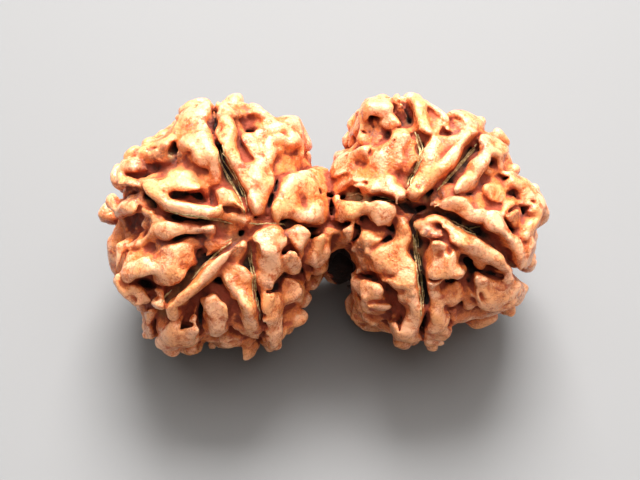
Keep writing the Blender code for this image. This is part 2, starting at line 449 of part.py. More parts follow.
def lip_ridges(bead, groove, first, random):
    """Short ridges in a row along both sides of the hidden stretch of a face line."""
    points = groove[first:]
    ahead = unit(np.gradient(points, axis=0))
    side = unit(np.cross(ahead, points - bead.centre))
    found = []
    for sign in (-1.0, 1.0):
        start = 0
        while start < len(points) - 2:
            end = min(start + random.integers(*LIP_POINTS), len(points))
            width = random.uniform(*GROWN_HALF_WIDTH)
            away = GROOVE_HALF_WIDTH + width + random.uniform(*LIP_STRAY, end - start)
            path = points[start:end] + side[start:end] * sign * away[:, None]
            found.append((bead.lay(path - bead.centre, HIGH), np.full(end - start, width), HIGH))
            start = end + random.integers(0, 2)
    return found


def sampled(points):
    """Points along a path, no more than a step apart."""
    pieces = []
    for start, end in zip(points[:-1], points[1:]):
        count = int(np.linalg.norm(end - start) / SAMPLE_STEP) + 2
        pieces.append(start + (end - start) * np.linspace(0.0, 1.0, count)[:, None])
    return np.concatenate(pieces)


def grown_ridges(bead, taken, random):
    """Ridges that wander over the free, hidden part of the surface, clear of one another."""
    spots = np.concatenate([points for points, _ in taken])
    clear = np.concatenate([np.full(len(points), width) for points, width in taken])
    found = []
    for _ in range(GROWN_STARTS):
        direction = unit(random.normal(size=3))
        heading = random.normal(size=3)
        width = random.uniform(*GROWN_HALF_WIDTH)
        steps = random.integers(*GROWN_STEPS)
        turn = random.normal(scale=GROWN_TURN)
        depth = GROWN_DEPTHS[random.integers(len(GROWN_DEPTHS))]
        if direction[2] > GROWN_EDGE:
            continue
        path = []
        for _ in range(steps):
            place = bead.lay(direction, HIGH)
            room = np.linalg.norm(spots - place, axis=1) - clear - width
            if room.min() < GROWN_GAP:
                break
            path.append(place)
            heading = unit(heading - direction * (heading @ direction))
            heading = heading + turn * np.cross(direction, heading)
            direction = unit(place - bead.centre + GROWN_STEP * unit(heading))
        if len(path) < 2:
            continue
        path = np.array(path)
        found.append((path, np.full(len(path), width), depth))
        spots = np.concatenate((spots, path))
        clear = np.concatenate((clear, np.full(len(path), width)))
    return found


def path_distance(places, points, values):
    """Distance from places to a path, and the path's value at the nearest spot."""
    best = np.full(len(places), np.inf)
    value = np.zeros(len(places))
    for start, end, first, last in zip(points[:-1], points[1:], values[:-1], values[1:]):
        run = end - start
        share = np.clip((places - start) @ run / max(run @ run, 1e-9), 0.0, 1.0)
        distance = np.linalg.norm(places - start - share[:, None] * run, axis=1)
        nearer = distance < best
        best[nearer] = distance[nearer]
        value[nearer] = (first + share * (last - first))[nearer]
    return best, value


def smooth_max(a, b):
    """The larger of two fields, with their meeting edge rounded."""
    mix = np.clip(0.5 + 0.5 * (a - b) / BLEND, 0.0, 1.0)
    return b + (a - b) * mix + BLEND * mix * (1.0 - mix)


def relief(bead, directions, ridges, grooves, pits):
    """Radius of the finished surface along each direction."""
    crest = bead.crest(directions)
    places = bead.centre + directions * crest[:, None]
    radius = crest - VALLEY_DEPTH
    for groove in grooves:
        distance, _ = path_distance(places, groove, np.zeros(len(groove)))
        radius -= GROOVE_DEPTH * np.exp(-((distance / GROOVE_HALF_WIDTH) ** 2))
    for points, widths, depth in ridges:
        middle = points.mean(axis=0)
        reach = np.linalg.norm(points - middle, axis=1).max() + widths.max() + FLANK_REACH
        near = np.flatnonzero(np.linalg.norm(places - middle, axis=1) < reach)
        distance, width = path_distance(places[near], points, widths)
        dome = np.sqrt(np.clip(width**2 - distance**2, 0.0, None)) - width
        wall = np.clip(distance - width, 0.0, None) * WALL_SLOPE
        radius[near] = smooth_max(radius[near], crest[near] - depth + dome - wall)
    for spot, width, depth in pits:
        distance = np.linalg.norm(places - spot, axis=1)
        away = np.clip(distance - PIT_FLOOR_SHARE * width, 0.0, None)
        bottom = crest - depth + PIT_SLOPE * away
        radius = -smooth_max(-radius, -bottom)
    return radius


def all_ridges(bead, drawn, groove_lines, side, random):
    """Drawn ridges, knobs to rest on, lips of the hidden face lines and grown ridges."""
    ridges = drawn_ridges(bead, drawn) + rest_knobs(bead, side)
    for drawn_groove, groove in groove_lines:
        ridges += lip_ridges(bead, groove, len(drawn_groove), random)
    taken = [(sampled(points), widths.mean()) for points, widths, _ in ridges]
    taken += [(sampled(groove), GROOVE_HALF_WIDTH) for _, groove in groove_lines]
    return ridges + grown_ridges(bead, taken, random)


def to_row(points):
    """Picture-frame millimetres to the row frame's metres, resting on the surface below."""
    moved = points @ view_matrix().T + (-ROW_CENTRE[0], -ROW_CENTRE[1], REST_HEIGHT)
    return moved * MM


def bead_object(name, bead, drawn, grooves, pits, side, random):
    """A sphere whose points are moved out to the bead's relief, thinned to its triangles."""
    paths = groove_paths(bead, grooves)
    ridges = all_ridges(bead, drawn, list(zip(grooves, paths)), side, random)
    holes = [
        (bead.seen(np.array([(u, v)]), HIGH)[0], width, depth) for u, v, width, depth in pits
    ]
    bpy.ops.mesh.primitive_ico_sphere_add(subdivisions=SPHERE_SUBDIVISIONS, radius=1.0)
    obj = bpy.context.object
    obj.name = name
    mesh = obj.data
    flat = np.empty(len(mesh.vertices) * 3)
    mesh.vertices.foreach_get("co", flat)
    directions = unit(flat.reshape(-1, 3))
    radius = relief(bead, directions, ridges, paths, holes)
    mesh.vertices.foreach_set("co", to_row(bead.centre + directions * radius[:, None]).ravel())
    thin = obj.modifiers.new("thin", "DECIMATE")
    thin.ratio = BEAD_TRIANGLES / len(mesh.polygons)
    return obj


def join_object():
    """The solid heart of the join, which fills the space between the two beads."""
    bpy.ops.mesh.primitive_uv_sphere_add(
        segments=JOIN_SEGMENTS, ring_count=JOIN_RINGS, radius=1.0
    )
    obj = bpy.context.object
    obj.name = "join"
    mesh = obj.data
    flat = np.empty(len(mesh.vertices) * 3)
    mesh.vertices.foreach_get("co", flat)
    mesh.vertices.foreach_set("co", to_row(flat.reshape(-1, 3) * JOIN_SIZE).ravel())
    return obj


def floor_object():
    """Everything below the surface that the stone rests on."""
    bpy.ops.mesh.primitive_cube_add(size=1.0)
    obj = bpy.context.object
    obj.name = "floor"
    length, width, height = (MM * size for size in FLOOR_BLOCK)
    for vertex in obj.data.vertices:
        x, y, z = vertex.co
        vertex.co = (x * length, y * width, (z - 0.5) * height)
    return obj


def keep_largest(mesh):
    """Removes every loose island but the largest, such as the wall of a sealed pocket."""
    work = bmesh.new()
    work.from_mesh(mesh)
    islands = []
    left = set(work.verts)
    while left:
        island = {left.pop()}
        front = list(island)
        while front:
            vertex = front.pop()
            for edge in vertex.link_edges:
                other = edge.other_vert(vertex)
                if other not in island:
                    island.add(other)
                    front.append(other)
        left -= island
        islands.append(island)
    islands.sort(key=len)
    for island in islands[:-1]:
        bmesh.ops.delete(work, geom=list(island), context="VERTS")
    bmesh.ops.triangulate(work, faces=work.faces[:])
    work.to_mesh(mesh)
    work.free()


def stone_material():
    """Dry, rubbed seed stone."""
    material = bpy.data.materials.new("seed_stone")
    material.use_nodes = True
    shader = material.node_tree.nodes["Principled BSDF"]
    shader.inputs["Base Color"].default_value = STONE_COLOUR
    shader.inputs["Roughness"].default_value = STONE_ROUGHNESS
    return material


def main():
    """Two beads and the heart of their join, made one solid and levelled underneath."""
    for obj in list(bpy.data.objects):
        bpy.data.objects.remove(obj)
    parts = bpy.data.collections.new("gauri_shankar_rudraksha")
    bpy.context.scene.collection.children.link(parts)
    random = np.random.default_rng(SEED)
    left = Bead(LEFT_CENTRE, LEFT_OUTLINE, LEFT_POLE)
    right = Bead(RIGHT_CENTRE, RIGHT_OUTLINE, RIGHT_POLE)
    first = bead_object("left", left, LEFT_RIDGES, LEFT_GROOVES, LEFT_PITS, -1.0, random)
    second = bead_object("right", right, RIGHT_RIDGES, RIGHT_GROOVES, RIGHT_PITS, 1.0, random)
    join = join_object()
    floor = floor_object()
    for other, operation in ((join, "UNION"), (second, "UNION"), (floor, "DIFFERENCE")):
        boolean = first.modifiers.new(other.name, "BOOLEAN")
        boolean.operation = operation
        boolean.object = other
    bpy.context.view_layer.update()
    graph = bpy.context.evaluated_depsgraph_get()
    mesh = bpy.data.meshes.new_from_object(first.evaluated_get(graph))
    keep_largest(mesh)
    for helper in (first, second, join, floor):
        bpy.data.objects.remove(helper)
    stone = bpy.data.objects.new("rudraksha", mesh)
    parts.objects.link(stone)
    mesh.materials.clear()
    mesh.materials.append(stone_material())
    mesh.shade_smooth()
    mesh.set_sharp_from_angle(angle=math.radians(SHARP_ANGLE))


main()
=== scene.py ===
"""Gauri shankar rudraksha: the finished surface of the joined seed stones, and its studio.

The stone's relief is built as a field on a grid: ridges and lobes are round-topped walls that
run in from the outer surface, and hollows, face lines, furrows and dents are carved out. The
grid lies in the picture frame, u to the right, v up and w towards the eye, in millimetres, with
its origin on the join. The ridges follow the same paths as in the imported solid, and the sides
that the picture hides are filled by the same seeded rule.
"""

import math

import bmesh
import bpy
import numpy as np
import openvdb
from mathutils import Matrix, Vector


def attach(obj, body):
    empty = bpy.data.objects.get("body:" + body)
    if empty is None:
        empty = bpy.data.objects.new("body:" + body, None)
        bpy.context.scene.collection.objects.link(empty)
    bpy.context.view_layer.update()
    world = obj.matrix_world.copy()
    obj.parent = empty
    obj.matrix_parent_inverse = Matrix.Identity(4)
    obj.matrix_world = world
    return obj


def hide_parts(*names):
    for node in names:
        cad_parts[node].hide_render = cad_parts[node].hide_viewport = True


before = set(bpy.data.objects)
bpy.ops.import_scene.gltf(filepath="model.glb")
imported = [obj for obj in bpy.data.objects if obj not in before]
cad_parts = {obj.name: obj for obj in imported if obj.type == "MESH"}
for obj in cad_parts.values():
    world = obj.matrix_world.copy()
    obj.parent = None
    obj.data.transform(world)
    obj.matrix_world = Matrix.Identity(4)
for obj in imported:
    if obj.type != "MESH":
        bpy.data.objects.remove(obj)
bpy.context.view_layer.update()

# Sizes, in millimetres, and angles, in degrees
MM = 0.001
VIEW_AZIMUTH = -2.6
VIEW_ELEVATION = 54.0
EYE = (-0.42, -1.13, 69.0)
PICTURE_WIDTH = 45.07
SENSOR = 36.0
HALF_THICKNESS = 8.6
ROUNDNESS = 2.35
REST_HEIGHT = 8.9
JOIN_CENTRE = (0.4, -1.0, -0.6)
JOIN_SIZE = (2.2, 3.4, 3.0)
JOIN_REACH = 2.4
JOIN_SINK = 0.8
# A web of stone deep under the arch, painted in deep shade, that stands in for the shadow seen through
# the arch: centre and size
SHADOW_WEB_CENTRE = (0.9, -1.6, -4.6)
SHADOW_WEB_SIZE = (2.4, 2.7, 2.6)
ROW_CENTRE = (-0.02, 0.03)
VALLEY_DEPTH = 1.5
GROOVE_HALF_WIDTH = 0.42
RIDGE_FULLNESS = 1.3
OUTLINE_STEP = 2.0
OUTLINE_SMOOTHING = (1.0, 2.0, 3.0, 2.0, 1.0)

# Where a line of sight is searched for a bead: first and last share of its way, tries
SIGHT_SEARCH = (0.8, 1.16, 700)

# How far a ridge's crest lies below the bead's outer surface
HIGH = 0.0
UPPER = 0.5
MIDDLE = 1.0
LOW = 1.5

# Outlines of the two beads, through the tops of their outermost ridges
LEFT_CENTRE = (-6.9, -0.4, 0.2)
LEFT_OUTLINE = [
    (1.9, 0.0), (0.5, 3.2), (-0.9, 4.9), (-1.5, 7.2), (-3.3, 7.8), (-4.7, 8.4), (-6.1, 9.0), (-7.6, 9.0),
    (-8.9, 8.8), (-10.3, 7.8), (-11.7, 6.4), (-13.1, 5.4), (-14.5, 4.3), (-15.2, 2.7), (-15.6, 1.0),
    (-15.5, -0.8), (-15.1, -3.0), (-14.5, -5.4), (-13.2, -7.1), (-11.7, -8.5), (-10.2, -9.4),
    (-8.7, -9.3), (-6.9, -9.1), (-4.9, -9.5), (-3.3, -8.9), (-1.8, -7.0), (-0.8, -5.2), (0.1, -3.4),
    (1.0, -2.0),
]
LEFT_POLE = (-5.8, -0.4)
RIGHT_CENTRE = (6.9, 0.2, -0.2)
RIGHT_OUTLINE = [
    (-1.7, 0.2), (-0.2, -1.3), (0.9, -2.0), (1.5, -3.2), (1.4, -5.0), (1.4, -6.5), (2.3, -7.5),
    (3.8, -8.4), (5.2, -8.9), (6.7, -9.0), (8.1, -8.8), (9.4, -7.9), (10.9, -7.4), (12.3, -6.8),
    (13.6, -5.4), (14.4, -3.3), (15.0, -1.4), (15.6, 0.5), (15.1, 1.9), (14.0, 3.1), (13.1, 4.6),
    (12.4, 6.3), (10.9, 7.6), (9.4, 8.0), (7.9, 8.3), (6.6, 9.1), (5.2, 9.4), (3.7, 8.9), (2.3, 8.2),
    (1.2, 6.3), (0.6, 4.4), (-0.4, 2.8),
]
RIGHT_POLE = (6.4, 1.1)

# The deep face lines of both beads, which run out from the poles
LEFT_GROOVES = [
    [(-5.6, 0.8), (-5.9, 2.0), (-6.3, 2.8), (-6.8, 3.6), (-7.2, 4.5), (-7.4, 5.5), (-7.8, 6.5),
        (-7.9, 7.3), (-7.8, 8.2), (-7.5, 8.6)],
    [(-6.2, -0.1), (-7.5, 0.2), (-9.0, 0.35), (-10.5, 0.6), (-11.7, 1.1), (-12.6, 1.8), (-13.8, 2.0),
        (-14.8, 2.1)],
    [(-6.3, -0.9), (-7.2, -1.6), (-8.2, -2.5), (-9.2, -3.5), (-10.2, -4.6), (-10.9, -5.5),
        (-11.5, -6.3), (-11.6, -7.5), (-11.7, -8.4)],
    [(-5.5, -1.2), (-5.3, -2.2), (-5.2, -3.2), (-4.95, -4.5), (-4.8, -5.5), (-4.6, -7.0), (-4.5, -8.4)],
    [(-5.3, 0.4), (-4.4, 0.5), (-3.6, 0.2), (-2.2, 0.1), (-1.0, 0.0), (0.0, 0.1)],
]
RIGHT_GROOVES = [
    [(5.9, 1.8), (5.8, 2.9), (6.2, 3.5), (6.6, 4.1), (6.7, 4.9), (6.6, 5.5), (6.3, 6.3), (5.9, 7.3),
        (5.4, 7.9), (5.1, 8.6)],
    [(7.2, 2.0), (8.2, 2.9), (9.0, 3.8), (9.9, 4.9), (10.6, 5.6), (11.0, 6.4)],
    [(7.2, 0.8), (8.4, 0.4), (9.5, -0.1), (10.8, -0.7), (11.7, -1.4), (12.6, -2.3), (13.5, -3.4)],
    [(6.1, 0.2), (6.3, -1.0), (6.6, -2.5), (6.8, -4.0), (6.9, -6.0), (6.9, -7.5), (6.6, -8.8)],
    [(5.3, 1.4), (4.2, 1.7), (3.3, 1.8), (2.4, 2.2), (1.2, 1.9), (0.5, 1.2)],
]

# How deep the face lines are where they are seen
LEFT_FLOORS = (1.7, 2.2, 1.7, 2.0, 2.4)
RIGHT_FLOORS = (1.8, 1.5, 1.9, 1.9, 1.7)

# Ridges of the left bead: half width, crest depth, path
LEFT_RIDGES = [
    # Upper left, outside the face line that runs up
    ((0.45, 0.7), HIGH, [(-12.7, 5.2), (-11.9, 5.4), (-11.3, 5.9), (-10.8, 6.5), (-10.3, 7.1),
        (-9.8, 7.8), (-9.2, 8.2), (-8.5, 8.4), (-8.1, 8.2)]),
    ((0.7, 0.45), HIGH, [(-8.9, 8.0), (-9.2, 7.2), (-9.1, 6.5), (-8.7, 5.9), (-8.3, 5.2), (-7.9, 4.8)]),
    (0.2, MIDDLE, [(-8.6, 2.9), (-8.35, 2.3), (-8.5, 1.65)]),
    # Far left
    (0.42, HIGH, [(-13.5, 4.4), (-14.1, 4.1), (-14.6, 3.6), (-14.55, 3.1), (-14.1, 2.9)]),
    (0.18, MIDDLE, [(-8.4, -1.6), (-7.7, -1.3), (-6.9, -0.95)]),
    (0.15, LOW, [(-7.4, -0.4), (-6.5, -0.45)]),
    (0.27, UPPER, [(-14.3, -1.5), (-13.5, -1.4), (-12.9, -1.3), (-12.2, -0.95)]),
    (0.32, HIGH, [(-14.7, -1.3), (-14.65, -2.2), (-14.65, -3.2), (-14.6, -4.2), (-14.4, -4.9),
        (-14.0, -5.4), (-13.5, -5.7)]),
    (0.5, HIGH, [(-13.9, -3.4), (-13.3, -3.3), (-12.7, -3.1)]),
    (0.33, MIDDLE, [(-14.0, -4.4), (-13.4, -4.65), (-12.9, -5.1), (-12.7, -5.5)]),
    (0.3, LOW, [(-12.3, -4.9), (-11.9, -5.2)]),
    (0.15, MIDDLE, [(-11.2, -4.8), (-11.5, -5.4)]),
    (0.4, HIGH, [(-12.05, -6.0), (-11.95, -6.0)]),
    ((0.38, 0.3), MIDDLE, [(-12.15, -6.7), (-12.15, -7.4), (-12.1, -8.1)]),
    (0.4, MIDDLE, [(-13.7, -6.2), (-13.2, -6.6), (-12.9, -6.9)]),
    # Lower left
    ((0.36, 0.55), HIGH, [(-6.95, -1.7), (-7.5, -2.35), (-8.1, -3.0), (-8.7, -3.7), (-9.2, -4.3),
        (-9.8, -4.95), (-10.4, -5.4), (-10.9, -6.0), (-11.2, -6.7)]),
    (0.45, HIGH, [(-11.0, -7.7), (-11.0, -8.2), (-10.4, -8.35), (-9.8, -8.25), (-9.4, -7.8)]),
    (0.4, MIDDLE, [(-10.9, -8.9), (-10.2, -9.1), (-9.8, -9.2)]),
    (0.5, LOW, [(-8.85, -8.7), (-8.75, -8.7)]),
    (0.4, LOW, [(-7.65, -5.1), (-7.55, -5.1)]),
    (0.4, MIDDLE, [(-5.4, -9.0), (-5.2, -9.4)]),
    (0.3, MIDDLE, [(-4.7, -8.7), (-4.6, -9.1)]),
    # Lower right
    (0.28, MIDDLE, [(-1.3, -2.6), (-1.2, -3.4), (-1.1, -4.0)]),
    ((0.27, 0.4), MIDDLE, [(-1.0, -4.6), (-1.0, -5.3), (-1.05, -6.0), (-1.5, -6.4)]),
    (0.38, HIGH, [(-3.95, -5.3), (-4.1, -6.0), (-4.0, -6.7), (-4.0, -7.4), (-3.9, -8.0), (-3.7, -8.4)]),
    (0.43, MIDDLE, [(-3.0, -7.8), (-2.85, -8.3), (-3.1, -8.5)]),
    (0.25, LOW, [(-2.9, -6.2), (-2.4, -6.3)]),
    # Upper right
    (0.4, HIGH, [(-7.2, 7.6), (-7.1, 8.2), (-6.7, 8.6), (-6.0, 8.7), (-5.3, 8.4), (-4.7, 7.9),
        (-4.1, 7.4), (-3.4, 7.1)]),
    (0.25, LOW, [(-6.4, 7.3), (-5.9, 7.4)]),
    (0.25, MIDDLE, [(-5.35, 7.2), (-5.25, 7.2)]),
    (0.15, LOW, [(-5.85, 7.4), (-5.85, 6.6)]),
    (0.33, HIGH, [(-4.6, 6.7), (-3.9, 6.9), (-3.2, 7.0), (-2.6, 7.1), (-2.0, 7.1), (-1.7, 6.6),
        (-1.5, 5.9), (-1.5, 5.3)]),
    (0.35, HIGH, [(-3.6, 6.3), (-3.0, 6.4), (-2.4, 6.2), (-1.8, 6.3)]),
    (0.5, MIDDLE, [(-2.6, 3.9), (-1.9, 4.2), (-1.2, 3.9)]),
    (0.4, LOW, [(-1.65, 4.7), (-1.55, 4.7)]),
    (0.55, HIGH, [(-1.9, 2.9), (-1.2, 3.0), (-0.4, 3.1), (-0.2, 2.4), (-0.3, 1.7), (-0.7, 1.2),
        (-1.1, 0.9)]),
    (0.4, HIGH, [(-1.5, 3.4), (-0.7, 3.5), (-0.1, 3.2)]),
    # Towards the join
    (0.47, HIGH, [(-0.1, -0.8), (-0.3, -1.4), (-0.4, -2.1), (-0.2, -2.8)]),
]

# Ridges of the right bead: half width, crest depth, path
RIGHT_RIDGES = [
    # Towards the join
    (0.42, UPPER, [(0.0, -0.7), (0.7, -0.8), (1.4, -0.7)]),
    (0.4, MIDDLE, [(0.7, 2.7), (1.2, 2.5), (1.6, 2.7)]),
    (0.3, UPPER, [(0.6, 1.9), (0.6, 1.4)]),
    # Upper left
    (0.35, HIGH, [(2.2, 6.4), (2.4, 7.2), (2.6, 8.0), (3.1, 8.5), (3.6, 8.5)]),
    (0.3, HIGH, [(4.2, 8.5), (4.3, 8.1)]),
    (0.4, MIDDLE, [(3.2, 7.3), (3.6, 6.8)]),
    ((0.3, 0.45), HIGH, [(1.0, 4.4), (1.3, 4.9), (2.0, 5.2), (2.5, 5.1)]),
    (0.45, HIGH, [(1.05, 4.5), (1.15, 4.5)]),
    (0.25, MIDDLE, [(1.2, 6.0), (1.9, 6.1), (2.5, 6.0), (3.0, 5.9)]),
    (0.3, MIDDLE, [(0.7, 3.8), (0.9, 3.4), (0.5, 3.2)]),
    # Left of the pole
    (0.38, HIGH, [(6.1, -4.9), (6.1, -5.6), (6.2, -6.4), (6.4, -7.0), (6.2, -7.8)]),
    # Upper right
    (0.3, HIGH, [(5.25, 9.1), (5.35, 9.1)]),
    (0.5, HIGH, [(5.3, 9.0), (5.9, 8.8), (6.2, 8.3), (6.3, 7.7), (6.5, 7.1), (6.6, 6.7)]),
    (0.3, HIGH, [(6.3, 8.9), (7.0, 8.6), (7.6, 8.1), (8.1, 7.6), (8.4, 7.3)]),
    (0.3, HIGH, [(9.0, 7.6), (9.6, 7.7), (10.3, 7.7), (10.7, 7.4)]),
    (0.35, HIGH, [(9.9, 7.2), (10.5, 7.1)]),
    (0.4, HIGH, [(10.5, 6.6), (10.2, 6.0), (9.7, 5.5), (9.2, 5.1), (8.6, 4.6), (8.1, 4.1)]),
    (0.4, HIGH, [(11.2, 6.1), (11.8, 6.1), (12.4, 5.8), (12.7, 5.4)]),
    (0.3, HIGH, [(11.5, 5.8), (11.4, 5.3), (11.3, 4.9)]),
    (0.25, MIDDLE, [(12.3, 5.4), (12.2, 4.8), (12.3, 4.3), (12.4, 3.9)]),
    (0.3, MIDDLE, [(12.3, 3.5), (13.0, 3.4)]),
    (0.4, HIGH, [(13.4, 2.8), (14.0, 2.5), (14.6, 1.9), (14.9, 1.4)]),
    # Right
    (0.35, HIGH, [(14.6, 1.7), (14.9, 1.2), (15.1, 0.8), (15.3, 0.5)]),
    (0.3, HIGH, [(15.2, 0.4), (14.8, 0.0), (14.5, -0.5), (14.2, -1.0)]),
    (0.2, MIDDLE, [(13.9, 1.5), (14.4, 1.45)]),
    (0.25, MIDDLE, [(14.2, 0.8), (14.8, 0.6), (15.2, 0.5)]),
    (0.35, MIDDLE, [(13.2, 1.4), (13.6, 2.2)]),
    (0.35, HIGH, [(13.6, -1.5), (13.8, -2.0), (13.6, -2.4)]),
    (0.3, HIGH, [(14.5, -1.3), (14.4, -2.0), (14.2, -2.7), (14.0, -3.1)]),
    # Lower right
    (0.55, HIGH, [(11.2, -5.2), (11.9, -5.4), (12.6, -5.4), (13.2, -5.1), (13.6, -4.7)]),
    (0.3, HIGH, [(12.7, -3.8), (13.0, -4.0)]),
    (0.4, MIDDLE, [(10.9, -6.4), (11.5, -6.8), (12.2, -6.6), (12.8, -6.2)]),
    (0.45, HIGH, [(7.8, -6.9), (8.2, -7.3), (7.8, -7.6)]),
    (0.5, MIDDLE, [(7.2, -8.5), (7.8, -8.4)]),
    (0.35, LOW, [(9.0, -7.3), (9.9, -7.2)]),
    # Lower left
    (0.18, HIGH, [(1.9, -2.8), (2.1, -3.4)]),
    (0.42, MIDDLE, [(1.5, -5.3), (1.6, -6.0), (1.7, -6.7), (2.3, -6.9), (3.0, -7.0)]),
    (0.25, LOW, [(1.7, -2.6), (1.6, -3.2)]),
    (0.3, UPPER, [(4.7, -7.3), (5.1, -7.8), (5.7, -8.0), (6.2, -7.9)]),
    (0.4, MIDDLE, [(4.6, -8.5), (5.2, -8.6), (5.9, -8.6)]),
    (0.35, LOW, [(3.5, -7.6), (4.1, -8.3)]),
]

